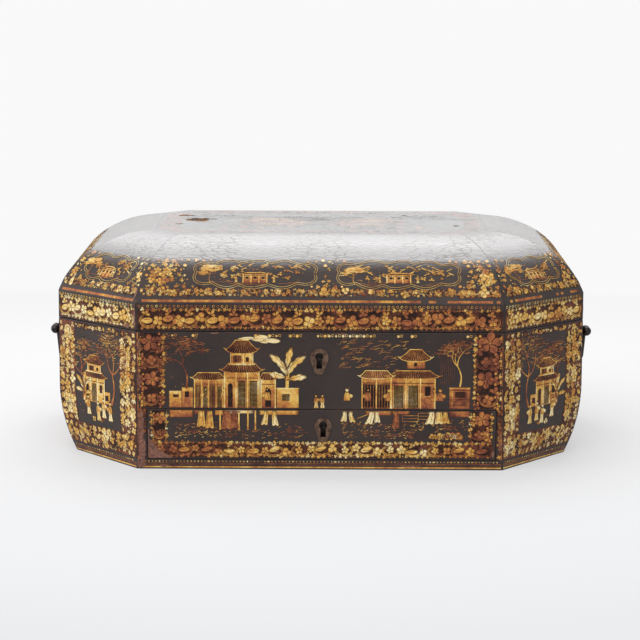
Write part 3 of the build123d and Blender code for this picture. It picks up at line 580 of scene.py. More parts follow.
class Drawing:
    """The paint on one face: blobs and strokes, kept by their number of points. Each is a hair higher
    or lower than its layer, so that no two tops share one plane. room, if given, tells how far inside
    the face's edges a place is, and what would cross an edge is left out."""

    def __init__(self, seed, room=None):
        self.room = room
        self.blobs = {}
        self.strokes = {}
        self.random = np.random.default_rng(seed)

    def blob(self, ring, tone, layer=0, tip=0.0):
        """A shape that its middle can see all of. tip shades the tone up the shape."""
        ring = np.asarray(ring, float)
        if self.room is not None and self.room(*ring.T).min() < 0:
            return
        after = np.roll(ring, -1, axis=0)
        if (ring[:, 0] * after[:, 1] - ring[:, 1] * after[:, 0]).sum() < 0:
            ring = ring[::-1]
        middle = ring.mean(axis=0)
        rise = ring[:, 1] - middle[1]
        height = max(np.abs(rise).max(), 1e-6)
        layer = layer + layer_scatter * self.random.random()
        shaded = tone + tip * rise / height
        self.blobs.setdefault(len(ring), []).append((ring, middle, shaded, tone, layer))

    def stroke(self, path, width, tone, layer=0):
        """A line through the points of path, as wide as width at each of them."""
        path = np.asarray(path, float)
        if self.room is not None and self.room(*path.T).min() < np.max(width) / 2:
            return
        step = np.gradient(path, axis=0)
        step /= np.maximum(np.linalg.norm(step, axis=1, keepdims=True), 1e-9)
        half = np.broadcast_to(np.asarray(width, float), len(path))[:, None] / 2
        side = np.stack([-step[:, 1], step[:, 0]], axis=1) * half
        layer = layer + layer_scatter * self.random.random()
        self.strokes.setdefault(len(path), []).append((path + side, path - side, path, tone, layer))

    def count(self):
        """The numbers of blobs and strokes so far."""
        return sum(map(len, self.blobs.values())), sum(map(len, self.strokes.values()))


print("layers of paint are", layer_lift, "mm apart")


# %% From drawing to mesh
def blob_mesh(group):
    """Fans of triangles from a raised middle and a sunk one to each ring of points. Returns points
    in (across, up, out), faces, tone, rim and layer."""
    rings = np.stack([g[0] for g in group])
    middles = np.stack([g[1] for g in group])
    many, size = rings.shape[:2]
    lift = first_lift + layer_lift * np.array([g[4] for g in group])
    points = np.zeros((many, size + 2, 3))
    points[:, :size, :2] = rings
    points[:, :size, 2] = lift[:, None]
    points[:, size:, :2] = middles[:, None]
    points[:, size, 2] = lift + blob_crown
    points[:, size + 1, 2] = -sink
    tone = np.zeros((many, size + 2))
    tone[:, :size] = np.stack([g[2] for g in group])
    tone[:, size:] = np.array([g[3] for g in group])[:, None]
    rim = np.zeros((many, size + 2))
    rim[:, size:] = np.linalg.norm(rings - middles[:, None], axis=2).min(axis=1)[:, None]
    here = np.arange(size)
    after = (here + 1) % size
    fan = np.concatenate([
        np.stack([here, after, np.full(size, size)], axis=1),
        np.stack([after, here, np.full(size, size + 1)], axis=1),
    ])
    faces = (fan[None] + (np.arange(many) * (size + 2))[:, None, None]).reshape(-1, 3)
    layers = np.repeat([g[4] for g in group], size + 2)
    return points.reshape(-1, 3), faces, tone.ravel(), rim.ravel(), layers


def stroke_mesh(group):
    """A strip between left and right edges, closed underneath by a sunk keel and at both ends. It
    returns the same as blob_mesh, with a rim so wide that no edge shows."""
    left, right, keel = (np.stack([g[k] for g in group]) for k in range(3))
    many, size = left.shape[:2]
    lift = first_lift + layer_lift * np.array([g[4] for g in group])
    points = np.zeros((many, 3 * size, 3))
    points[:, :, :2] = np.concatenate([left, right, keel], axis=1)
    points[:, :2 * size, 2] = lift[:, None]
    points[:, 2 * size:, 2] = -sink
    a = np.arange(size - 1)
    b = a + 1
    lefts, rights, keels = 0, size, 2 * size
    strips = [(rights + a, rights + b, lefts + b), (rights + a, lefts + b, lefts + a),
              (rights + a, keels + a, keels + b), (rights + a, keels + b, rights + b),
              (lefts + a, lefts + b, keels + b), (lefts + a, keels + b, keels + a)]
    one = np.concatenate([np.stack(strip, axis=1) for strip in strips] + [
        np.array([(lefts, keels, rights), (rights + size - 1, keels + size - 1, lefts + size - 1)]),
    ])
    faces = (one[None] + (np.arange(many) * 3 * size)[:, None, None]).reshape(-1, 3)
    tone = np.repeat(np.array([g[3] for g in group], float), 3 * size)
    layers = np.repeat([g[4] for g in group], 3 * size)
    return points.reshape(-1, 3), faces, tone, np.ones(len(tone)), layers


print("a blob of 8 points has 16 faces, and a stroke of 2 points has 8")

# %% [markdown]
# ## A painted piece
# All the paint on one face becomes one mesh. It rides on the body that its wood belongs to, so the
# lid takes its paint along when it opens. Its UV map is for baking: paint layers overlap, so each
# layer gets its own tile of the square, and none covers another.

# %% From mesh to piece
paint_pieces = []


def layer_tiles(flat, layers):
    """Places in the UV square: the place on the face, plus the corner of the layer's tile, over the
    size of the whole. The number of columns is the one that keeps the square smallest."""
    low, high = flat[:, :2].min(axis=0), flat[:, :2].max(axis=0)
    across, up = high - low + 1.0
    tiles = layers.max() + 1
    columns = min(range(1, tiles + 1), key=lambda c: max(c * across, -(-tiles // c) * up))
    place = flat[:, :2] - low + np.stack([layers % columns * across, layers // columns * up], axis=1)
    return place / max(columns * across, -(-tiles // columns) * up)


def paint(name, drawing, surface, body, finish=painted_gold):
    """Turn a drawing into one piece on the surface function, which takes across, up and out in
    millimetres to a place, and let it ride on the body."""
    made = [blob_mesh(group) for group in drawing.blobs.values()]
    made += [stroke_mesh(group) for group in drawing.strokes.values()]
    starts = np.cumsum([0] + [len(part[0]) for part in made[:-1]])
    flat = np.concatenate([part[0] for part in made])
    faces = np.concatenate([part[1] + start for part, start in zip(made, starts)])
    places = surface(flat[:, 0], flat[:, 1], flat[:, 2]) * mm
    mesh = bpy.data.meshes.new(name)
    mesh.vertices.add(len(places))
    mesh.vertices.foreach_set("co", places.astype(np.float32).ravel())
    mesh.loops.add(faces.size)
    mesh.loops.foreach_set("vertex_index", faces.astype(np.int32).ravel())
    mesh.polygons.add(len(faces))
    mesh.polygons.foreach_set("loop_start", np.arange(0, faces.size, 3, dtype=np.int32))
    mesh.update(calc_edges=True)
    mesh.shade_flat()
    for label, column in (("tone", 2), ("rim", 3)):
        values = mesh.attributes.new(label, "FLOAT", "POINT")
        values.data.foreach_set("value", np.concatenate([part[column] for part in made]).astype(np.float32))
    tiled = layer_tiles(flat, np.concatenate([part[4] for part in made]).astype(int))
    layer = mesh.uv_layers.new(name="OFBake")
    layer.data.foreach_set("uv", tiled[faces.ravel()].astype(np.float32).ravel())
    mesh.materials.append(finish)
    piece = bpy.data.objects.new(name, mesh)
    bpy.context.scene.collection.objects.link(piece)
    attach(piece, body)
    paint_pieces.append(piece)
    print(name, drawing.count(), len(faces), "triangles")


print("paint is ready to go on")

# %% [markdown]
# ## The eight faces of the case
# Each side of the case and of the lid needs a rule that takes a point of the drawing to a place on
# the wood. The rule is worked out rather than projected, so that a flower keeps its shape where the
# wood curves. On the case, the up value is the height. The ends of the case curve in at the foot, and
# the cut corners follow them.

# %% Sizes from the frame
front_low, front_high = (np.array(v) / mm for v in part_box("front_wall"))
drawer_low, drawer_high = (np.array(v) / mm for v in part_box("drawer_front"))
end_high = np.array(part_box("right_end_wall")[1]) / mm
top_high = np.array(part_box("lid_top")[1]) / mm
front_half = front_high[0]
half_depth = -front_low[1]
half_width = end_high[0]
end_half = end_high[1]
case_top = front_high[2]
lid_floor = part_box("lid_front_side")[0][2] / mm
crown = top_high[2]
crown_inset = half_depth - top_high[1]
base_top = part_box("base_board")[1][2] / mm
print("front", front_half, half_depth, "end", half_width, end_half, "heights", case_top, lid_floor, crown)

# %% The case
foot_height = 48.0  # where the ends begin to curve in, and how far they have come in at the table
foot_inset = 11.5
foot_radius = (foot_height**2 + foot_inset**2) / (2 * foot_inset)
face_names = ["front", "front_right", "right", "back_right", "back", "back_left", "left", "front_left"]


def case_corners(up):
    """The eight corners at each height, anticlockwise from the front left. Below the foot height the
    ends come in by R - sqrt(R^2 - (height - up)^2)."""
    up = np.asarray(up, float)
    fall = np.clip(foot_height - up, 0, foot_height)
    side = half_width - (foot_radius - np.sqrt(foot_radius**2 - fall**2))
    front = np.full_like(up, front_half)
    deep = np.full_like(up, half_depth)
    short = np.full_like(up, end_half)
    return np.stack([
        np.stack(pair, axis=-1) for pair in (
            (-front, -deep), (front, -deep), (side, -short), (side, short),
            (front, deep), (-front, deep), (-side, short), (-side, -short),
        )
    ])


top_corners = case_corners(case_top)
case_lengths = np.linalg.norm(np.roll(top_corners, -1, axis=0) - top_corners, axis=-1)
print("sides of the case", case_lengths.round(1), "mm long")

# %% Room and rule for a case side
edge_margin = 0.25  # the paint stays this far inside a face's edges


def lifted(point, proud):
    """The rule that takes paint off a surface by its height and a little more: along the unit normal,
    which comes from small steps across and up the surface."""
    tiny = 0.01

    def surface(across, up, out):
        along = point(across + tiny, up) - point(across - tiny, up)
        rise = point(across, up + tiny) - point(across, up - tiny)
        normal = np.cross(along, rise)
        normal = normal / np.linalg.norm(normal, axis=-1, keepdims=True)
        return point(across, up) + normal * (out + proud)[:, None]

    return surface


def case_room(index):
    """How far a place is inside the upright edges of one side of the case, less the margin."""
    def room(across, up):
        corners = case_corners(up)
        long = np.linalg.norm(corners[(index + 1) % 8] - corners[index], axis=-1)
        return (case_lengths[index] / 2 - np.abs(across)) * long / case_lengths[index] - edge_margin

    return room


def case_face(index, proud=0.0):
    """The rule for one side of the case: corner to corner by share of its length, and up by height.
    proud lifts the paint a little more where the wood curves."""
    def point(across, up):
        corners = case_corners(up)
        start, end = corners[index], corners[(index + 1) % 8]
        share = 0.5 + np.asarray(across) / case_lengths[index]
        flat = start + (end - start) * share[..., None]
        return np.concatenate([flat, np.asarray(up, float)[..., None]], axis=-1)

    return lifted(point, proud)


print("height 0 of the front is at", case_face(0)(np.zeros(1), np.zeros(1), np.zeros(1)).round(1)[0])

# %% [markdown]
# ## The faces of the lid
# On the lid, the up value is measured along the curve: first the upright band, then the steep cove,
# then the shallow crown. Cove and crown are two arcs that meet at the knee with one slope, so the
# circles follow from the sizes of the frame and two more, the cove's run and rise.

# %% The lid's curve
band_height = 18.5
cove_inset, cove_rise = 22.0, 26.5
shoulder = lid_floor + band_height
crown_rise = crown - shoulder
crown_run, crown_fall = crown_inset - cove_inset, crown_rise - cove_rise
crown_radius = (crown_run**2 + crown_fall**2) / (2 * crown_fall)
knee_lean = crown_run / crown_radius
knee_level = np.sqrt(1 - knee_lean**2)
cove_radius = (cove_inset**2 + cove_rise**2) / (2 * (cove_rise * knee_level - cove_inset * knee_lean))
cove_centre = np.array([cove_inset + cove_radius * knee_lean,
                        shoulder + cove_rise - cove_radius * knee_level])
crown_centre = np.array([crown_inset, crown - crown_radius])
cove_start = np.arctan2(shoulder - cove_centre[1], -cove_centre[0]) % (2 * np.pi)
cove_end = np.arctan2(knee_level, -knee_lean)
cove_length = cove_radius * (cove_start - cove_end)
crown_length = crown_radius * np.arcsin(knee_lean)
knee_up = band_height + cove_length
print("lid curve", round(band_height, 1), round(knee_up, 1), round(knee_up + crown_length, 1), "mm")

# %% Room and rule for a lid side
corner_lean = np.tan(np.radians(22.5))  # the mitres halve the 45 degrees between two sides


def lid_profile(up):
    """How far in and how high the lid's surface is after going up along its curve: upright first,
    then round the cove's centre, then round the crown's."""
    up = np.asarray(up, float)
    turn = cove_start - np.clip(up - band_height, 0, cove_length) / cove_radius
    inset = np.where(up < band_height, 0, cove_centre[0] + cove_radius * np.cos(turn))
    height = np.where(up < band_height, lid_floor + up, cove_centre[1] + cove_radius * np.sin(turn))
    turn = cove_end - (up - knee_up) / crown_radius
    inset = np.where(up > knee_up, crown_centre[0] + crown_radius * np.cos(turn), inset)
    height = np.where(up > knee_up, crown_centre[1] + crown_radius * np.sin(turn), height)
    return inset, height


def lid_half(index, up):
    """Half the length of a side of the lid at each place up its curve."""
    return case_lengths[index] / 2 - lid_profile(up)[0] * corner_lean


def lid_room(index):
    """How far a place is inside the mitres at both ends of one side of the lid, less the margin."""
    return lambda across, up: lid_half(index, up) - np.abs(across) - edge_margin


def lid_face(index, proud):
    """The rule for one side of the lid, with proud as for the case."""
    start, end = top_corners[index], top_corners[(index + 1) % 8]
    middle = (start + end) / 2
    along = (end - start) / np.linalg.norm(end - start)
    inward = np.array([-along[1], along[0]])

    def point(across, up):
        inset, height = lid_profile(up)
        flat = middle + np.asarray(across)[..., None] * along + inset[..., None] * inward
        return np.concatenate([flat, height[..., None]], axis=-1)

    return lifted(point, proud)


print("half the front of the lid at the knee", round(float(lid_half(0, knee_up)), 1), "mm")

# %% [markdown]
# ## Motifs
# The painter's stock is small: dots, lines, petals, flowers with veins scratched in them, and leaves.
# Each is a curve in polar or straight coordinates, so a few numbers change its size, its turn and its
# fullness. These are common patterns of the trade, drawn again here.


# %% Dots, lines and petals
def turns(points):
    """Equal turns, one for each point of a closed ring."""
    return 2 * np.pi * np.arange(points) / points


def around(x, y, radius, t, high=None):
    """Points round a middle: x + radius * cos(t), y + high * sin(t), where high is the radius too if
    it isn't given."""
    return np.stack([x + radius * np.cos(t), y + (radius if high is None else high) * np.sin(t)], axis=1)


def disc(d, x, y, size, tone, layer, points=8):
    """A round dot."""
    d.blob(around(x, y, size, turns(points)), tone, layer)


def circle(d, x, y, size, tone):
    """A thin ring, not quite closed, as a brush leaves it."""
    d.stroke(around(x, y, size, np.linspace(0, 1.9 * np.pi, 11)), 0.3, tone, 1)


def line(d, x0, y0, x1, y1, width, tone, layer, points=2):
    """A straight stroke between two places, with more points where it has to follow a curve of
    the wood."""
    t = np.linspace(0, 1, points)[:, None]
    d.stroke(np.array([x0, y0]) * (1 - t) + np.array([x1, y1]) * t, width, tone, layer)


def petal(d, x, y, length, width, angle, tone, layer, full=0.5, bend=0.0, points=10, power=0.8,
          torn=0.0):
    """A petal from its foot at x, y: the width follows sin(t) to a power, more of it towards the tip
    as full goes to 1, and the whole leans sideways by bend times its length. torn is the share of the
    width that every third point of the edge lacks."""
    t = turns(points)
    along = (1 - np.cos(t)) / 2
    wide = -np.sign(np.sin(t)) * np.abs(np.sin(t)) ** power * (0.5 + full * (along - 0.5)) * width
    wide = wide * (1 - torn * (np.arange(points) % 3 == 0)) + bend * length * along * along
    c, s = np.cos(angle), np.sin(angle)
    ring = np.stack([x + length * along * c - wide * s, y + length * along * s + wide * c], axis=1)
    d.blob(ring, tone, layer)


print("dots, lines and petals")


# %% Flowers and leaves
def bloom(d, x, y, size, lobes, angle, tone, layer):
    """A flower or a lobed leaf in one piece, with dark veins scratched between the lobes. Its radius
    is size * (0.58 + 0.42 * |cos(lobes * t / 2)|^0.8), and one side is 12% fuller than the middle."""
    t = turns(6 * lobes)
    radius = size * (0.58 + 0.42 * np.abs(np.cos(lobes * t / 2)) ** 0.8)
    radius = radius * (1 + 0.12 * np.cos(t - d.random.uniform(0, 6)))
    d.blob(around(x, y, radius, angle + t), tone, layer)
    for k in range(lobes):
        turn = angle + (2 * k + 1) * np.pi / lobes
        line(d, x + 0.12 * size * np.cos(turn), y + 0.12 * size * np.sin(turn),
             x + 0.66 * size * np.cos(turn), y + 0.66 * size * np.sin(turn),
             0.1 + 0.06 * size, 0.06, layer + 1)
    if size > 2.2:
        disc(d, x, y, 0.13 * size, tone + 0.15, layer + 1, 6)


def spray(d, x, y, size, angle, tone, layer):
    """Three leaves fanned out from one foot, round a middle."""
    x, y = x - 0.6 * size * np.cos(angle), y - 0.6 * size * np.sin(angle)
    for lean in (-0.95, 0.0, 0.95):
        petal(d, x, y, size * (1.3 - 0.3 * abs(lean)), 0.62 * size, angle + lean,
              tone + d.random.uniform(-0.05, 0.05), layer, full=0.8, bend=0.15 * lean)


def hook(d, x, y, size, angle, tone, layer):
    """A leaf bent round like a comma: a stroke on an arc of 2.7 radians whose width swells as a sine
    with three soft lobes, and a dark rib."""
    s = np.linspace(0, 1, 11)
    turn = angle + 2.7 * (s - 0.5)
    radius = 0.72 * size * (1 - 0.25 * s)
    wide = size * (0.12 + 0.62 * np.sin(np.pi * s**0.7) * (1 + 0.18 * np.cos(6 * np.pi * s)))
    path = around(x, y, radius, turn)
    d.stroke(path, wide, tone, layer)
    d.stroke(path[1:-1], 0.2, 0.08, layer + 1)


def curl(d, x, y, size, angle, tone):
    """Double curled lines: arcs of 230 degrees whose radius shrinks to one end."""
    t = np.linspace(-2.0, 2.0, 13)
    for k in range(2):
        radius = (size - 0.85 * k) * (1 - 0.09 * (t + 2))
        d.stroke(around(x, y, radius, angle + t), 0.36 * (0.35 + 0.65 * np.cos(t * 0.7)), tone, 3)


def scroll(d, x, y, wide, high, way, tone):
    """Two curled lines side by side on a dark bed: arcs of 260 degrees that close in by a third."""
    t = np.linspace(-1.15 * np.pi, 0.3 * np.pi, 17)
    shrink = 1 - 0.3 * (t - t[0]) / (t[-1] - t[0])
    swell = np.sin(np.linspace(0.3, 2.8, 17))
    lines = ((0.5, 2.2, 0.06, 2), (0.0, 0.55, tone - 0.02, 3), (1.1, 0.5, tone - 0.08, 3))
    for inset, thick, shade, layer in lines:
        path = around(x, y, way * (wide - inset) * shrink, t, (high - inset) * shrink)
        d.stroke(path, thick * swell, shade, layer)


print("flowers, leaves and scrolls")

# %% [markdown]
# ## Brocade
# Where the gold lies closest, the painter filled the ground with flowers and leaves in no order. A
# jittered grid does that: its places are even enough to leave no holes, and uneven enough to hide
# the grid. Each place draws one motif as large as the room round it allows.


# %% Brocade
def motif(d, x, y, size, kind, angle, shade, layer):
    """A flower, a fan of leaves, a bent leaf or a long leaf with a rib, as kind goes from 0 to 1."""
    c, s = np.cos(angle), np.sin(angle)
    if kind < 0.42:
        bloom(d, x, y, size, int(d.random.integers(3, 6)), angle, shade, layer)
    elif kind < 0.62:
        spray(d, x, y, 0.9 * size, angle, shade, layer)
    elif kind < 0.84:
        hook(d, x, y, 0.95 * size, angle, shade, layer)
        disc(d, x, y, 0.22 * size, shade + 0.12, layer, 7)
    else:
        petal(d, x - 0.95 * size * c, y - 0.95 * size * s, 1.9 * size, size, angle, shade, layer, full=0.3,
              bend=0.15, points=12, power=1.1)
        line(d, x - 0.7 * size * c, y - 0.7 * size * s, x + 0.5 * size * c, y + 0.5 * size * s, 0.22, 0.06,
             layer + 1)


def brocade(d, box, step, tone, room=lambda x, y: np.inf, curls=0.3, fill=1.0, under=0.07):
    """Fill a box of x0, y0, x1, y1 with motifs on a jittered grid whose places are step apart. tone is
    a function of place, room says how much space there is round a place, curls and fill are the
    shares of places with a curl and with anything at all, and under is the tone of a dark dot below
    each, or 0 for none."""
    x0, y0, x1, y1 = box

    def free(x, y):
        return min(x - x0, x1 - x, y - y0, y1 - y, room(x, y))

    rows = max(int(round((y1 - y0) / (0.87 * step))), 1)
    columns = max(int(round((x1 - x0) / step)), 1)
    for row, column in np.ndindex(rows, columns):
        stagger = 0.5 * (row % 2) - 0.25 if columns > 3 else 0.0
        x = x0 + (column + 0.5 + stagger) * (x1 - x0) / columns
        y = y0 + (row + 0.5) * (y1 - y0) / rows
        x, y = np.array([x, y]) + d.random.uniform(-0.13, 0.13, 2) * step
        space = free(x, y)
        size = min(0.62 * step * d.random.uniform(0.82, 1.2), space)
        if size < 0.14 * step or d.random.random() > fill:
            continue
        angle = d.random.uniform(0, 2 * np.pi)
        shade = tone(x, y) + d.random.normal(0, 0.08)
        layer = int(d.random.integers(1, 3))
        if under:
            disc(d, x, y, min(0.9 * step, space + 0.3), under + d.random.uniform(0, 0.1), 0, 9)
        kind = d.random.random()
        if size < 0.3 * step:
            disc(d, x, y, size, shade + 0.1, layer)
        else:
            motif(d, x, y, size, kind, angle, shade, layer)
        if d.random.random() < curls and space > 0.5 * step:
            curl(d, x, y, min(0.9 * step, space), angle, shade + 0.04)
        # Dots in the gap to the next place
        for _ in range(3):
            away = d.random.uniform(0, 2 * np.pi)
            dot_x, dot_y = x + 0.66 * step * np.cos(away), y + 0.66 * step * np.sin(away)
            if free(dot_x, dot_y) > 0.9:
                disc(d, dot_x, dot_y, d.random.uniform(0.3, 0.7), shade + 0.12, 3, 6)


print("brocade")

# %% [markdown]
# ## Borders
# The lying borders are a row of scrolls, each turned round a long leaf, and the upright ones have
# large flowers and scrolls in turn. Both stand on a thin brown wash and have small leaves along
# their edges, which is how the painter hid the joint between a border and the black.


# %% Washes and rows of leaves
def wash(d, box, tone):
    """A thin coat of one tone under a border, laid in upright strips about 10 mm wide, which follow
    a curved side."""
    x0, y0, x1, y1 = box
    x0, x1 = x0 + 0.4, x1 - 0.4
    strips = max(int(round((x1 - x0) / 10.0)), 1)
    wide = (x1 - x0) / strips
    for x in x0 + wide * (np.arange(strips) + 0.5):
        line(d, x, y0, x, y1, wide, tone, 0, max(int((y1 - y0) / 2.5), 2))


def leaf_row(d, start, end, tone):
    """Small lobed leaves and dots in turn, 3.6 mm apart, along a line between two places."""
    start, end = np.array(start), np.array(end)
    many = max(int(np.linalg.norm(end - start) / 3.6), 1)
    for share in (np.arange(many) + 0.5) / many:
        x, y = start + (end - start) * share + d.random.uniform(-0.35, 0.35, 2)
        bloom(d, x, y, d.random.uniform(1.2, 1.9), int(d.random.integers(2, 5)), d.random.uniform(0, 6),
              tone(x, y) + d.random.normal(0.05, 0.08), 2)
        x, y = (x, y) + (end - start) / many / 2
        disc(d, x, y, d.random.uniform(0.35, 0.65), tone(x, y) + 0.1, 3, 6)


print("washes and rows of leaves")


# %% Lying and upright borders
def scroll_border(d, box, tone, step, bed):
    """A border of lying scrolls in a box of x0, y0, x1, y1: each is a double line that turns round a
    long leaf, with a flower where two meet and small lobed leaves along both edges. bed is the
    wash's tone."""
    x0, y0, x1, y1 = box
    high = y1 - y0
    scrolls = max(int(round((x1 - x0) / step)), 1)
    step = (x1 - x0) / scrolls
    wash(d, (x0, y0, x1, y1 - 1.6), bed)
    for k in range(scrolls):
        x = x0 + (k + 0.5 + d.random.uniform(-0.04, 0.04)) * step
        y = y0 + d.random.uniform(0.4, 0.48) * high
        shade = tone(x, y) + d.random.normal(0, 0.05)
        scroll(d, x, y, 0.46 * step, 0.4 * high, d.random.choice([-1, 1]), shade)
        if d.random.random() < 0.7:
            petal(d, x - 0.3 * step, y - 0.04 * high, 0.56 * step, d.random.uniform(0.27, 0.35) * high,
                  d.random.uniform(-0.15, 0.3), shade + 0.04, 2, full=0.1, bend=0.08, points=16, power=1.0)
            line(d, x - 0.2 * step, y, x + 0.14 * step, y + 0.3, 0.25, 0.1, 3, 3)
        else:
            bloom(d, x, y, 0.25 * high, 5, d.random.uniform(0, 6), shade + 0.04, 2)
        spray(d, x - 0.04 * step, y + 0.34 * high, 0.22 * high, np.pi / 2 + d.random.uniform(-1, 1),
              shade + 0.06, 2)
        if k < scrolls - 1:
            bloom(d, x + 0.5 * step, y + d.random.uniform(-0.1, 0.14) * high,
                  d.random.uniform(0.24, 0.31) * high, int(d.random.integers(3, 6)),
                  d.random.uniform(0, 6), shade + 0.05, 3)
    for edge, way in ((y0, 1), (y1, -1)):
        leaf_row(d, (x0 + 1.8, edge + way * 1.3), (x1 - 1.8, edge + way * 1.3), tone)


def tall_border(d, box, tone, tips, bed=0.07):
    """An upright border in a box of x0, y0, x1, y1: a large five-lobed flower and a scroll round a
    smaller one in turn, leaves beside them, and a row of small leaves down both edges. tips is how
    much paler the small leaves are, and bed is the wash's tone."""
    x0, y0, x1, y1 = box
    wide = x1 - x0
    wash(d, (x0 + 1.6, y0, x1 - 1.6, y1), bed)
    rows = max(int(round((y1 - y0) / (0.72 * wide))), 1)
    step = (y1 - y0) / rows
    for k in range(rows):
        x = (x0 + x1) / 2 + d.random.uniform(-0.08, 0.08) * wide
        y = y0 + (k + 0.5) * step
        shade = tone(x, y) + d.random.normal(0, 0.05)
        if k % 2:
            bloom(d, x, y, d.random.uniform(0.29, 0.39) * wide, 5, d.random.uniform(0, 6), shade, 1)
        else:
            scroll(d, x, y, 0.36 * wide, 0.44 * step, d.random.choice([-1, 1]), shade + 0.05)
            bloom(d, x, y, 0.2 * wide, int(d.random.integers(4, 6)), d.random.uniform(0, 6), shade, 3)
        for side in (-1, 1):
            for rise in (-0.42, 0.1):
                foot_x, foot_y = x + side * 0.33 * wide, y + (rise + d.random.uniform(-0.1, 0.1)) * step
                size = min(0.2 * wide, x1 - foot_x - 0.5, foot_x - x0 - 0.5, y1 - foot_y - 0.5)
                if size > 0.8:
                    spray(d, foot_x, foot_y, size, d.random.uniform(0, 6), shade + 0.05, 2)
                    disc(d, foot_x, foot_y + size, 0.3 * size, shade + tips, 3, 6)
    for x in (x0 + 1.3, x1 - 1.3):
        leaf_row(d, (x, y0 + 1.5), (x, y1 - 1.5), lambda a, b: tone(a, b) + tips)


print("borders")


# %% Rubbed edges, dabs and pearls
def rubbed_edges(d, reach, y0, y1):
    """Ragged lines of worn ground up both edges."""
    for x in (-reach, reach):
        for y in np.arange(y0, y1 - 2.4, 2.2):
            line(d, x, y, x, y + 2.4, d.random.uniform(0.35, 0.95), 0.36 + d.random.normal(0, 0.07), 3)


def specks(d, x0, x1, y0, y1, tone, many):
    """Short dabs of foliage in a box."""
    for _ in range(many):
        x, y = d.random.uniform(x0, x1), d.random.uniform(y0, y1)
        line(d, x, y, x + d.random.uniform(0.6, 2.0), y + d.random.uniform(-0.5, 0.9), 0.3,
             tone + d.random.normal(0, 0.1), 1)


def pearls(d, x0, x1, y, step, size, tone):
    """A row of dots, some of them drawn out."""
    for x in np.arange(x0 + step, x1 - step, step):
        long = 1.9 if d.random.random() < 0.22 else 1.0
        grown = size * d.random.uniform(0.8, 1.15)
        d.blob(around(x, y, long * grown, turns(8), grown), tone + d.random.normal(0, 0.1), 1)


print("edges and pearls")

# %% [markdown]
# ## Garden scenes
# A garden hall is a few flat shapes and fine lines: walls, posts, doors with lattice, and roofs whose
# eaves turn up. Round it stand trees, plantains, rocks, and small people in robes with plain faces.
# The layout is our own. Each part is a function of its place and size, so that the same ones serve
# the front, the sides and the small panels of the lid.


# %% Walls, doors and roofs
def panel(d, x0, y0, x1, y1, tone, layer, tip=0.0):
    """A flat upright rectangle: a wall, a post or a door."""
    x, y = (x0 + x1) / 2, (y0 + y1) / 2
    d.blob([(x0, y0), (x, y0), (x1, y0), (x1, y), (x1, y1), (x, y1), (x0, y1), (x0, y)], tone, layer, tip)


def arch(d, x, y, width, height, tone):
    """A doorway or window with a round head."""
    t = np.linspace(0, np.pi, 7)
    head = around(x, y + height - width / 2, width / 2, t)
    d.blob(np.concatenate([head, [(x - width / 2, y), (x + width / 2, y)]]), tone, 2)


def lattice(d, x0, y0, x1, y1, tone):
    """A dark door with a net of pale dashes."""
    panel(d, x0, y0, x1, y1, 0.0, 2)
    line(d, x0, y0, x0, y1, 0.3, tone, 3)
    line(d, x1, y0, x1, y1, 0.3, tone, 3)
    for y in np.arange(y0 + 0.6, y1 - 0.3, 0.85):
        for x in np.arange(x0 + 0.7, x1 - 0.4, 0.85):
            lean = d.random.uniform(0, np.pi)
            line(d, x - 0.25 * np.cos(lean), y - 0.25 * np.sin(lean),
                 x + 0.25 * np.cos(lean), y + 0.25 * np.sin(lean), 0.2, tone, 3)


def roof(d, x, eave, width, height, tone, ridge):
    """A hipped roof: the eave line rises at both ends as s^4, and the hips curve up to the ridge.
    Fine lines are its rows of tiles. ridge is the ridge's share of the width."""
    half = width / 2
    s = np.linspace(-1, 1, 9)
    lift = 0.34 * height
    low = np.stack([x + half * s, eave + lift * s**4], axis=1)
    hip = np.array([[0.74, 0.36], [0.60, 0.68]])
    right = np.stack([x + half * hip[:, 0], eave + height * hip[:, 1]], axis=1)
    left = np.stack([x - half * hip[::-1, 0], eave + height * hip[::-1, 1]], axis=1)
    top = np.array([[x + half * ridge, eave + height], [x - half * ridge, eave + height]])
    d.blob(np.concatenate([low, right, top, left]), tone, 2)
    for share in np.linspace(-0.92, 0.92, max(int(width / 1.7), 5)):
        t = np.linspace(0, 1, 4)
        path = np.stack([x + half * share * (ridge + (1 - ridge) * t**1.4),
                         eave + height * (1 - t) + (lift * share**4 + 0.3) * t], axis=1)
        d.stroke(path, 0.2, tone + 0.42, 3)
    d.stroke(np.stack([x + 1.05 * half * s, eave + lift * s**4 * 1.25], axis=1), 0.45, tone + 0.55, 3)
    line(d, x - half * ridge, eave + height, x + half * ridge, eave + height, 0.55, tone + 0.6, 3)
    for side in (-1, 1):
        t = np.linspace(0, 1, 5)
        d.stroke(np.stack([x + side * half * (ridge + (1 - ridge) * t), eave + height * (1 - t) ** 1.5
                           + lift * t], axis=1), 0.4, tone + 0.5, 3)


print("walls, doors and roofs")


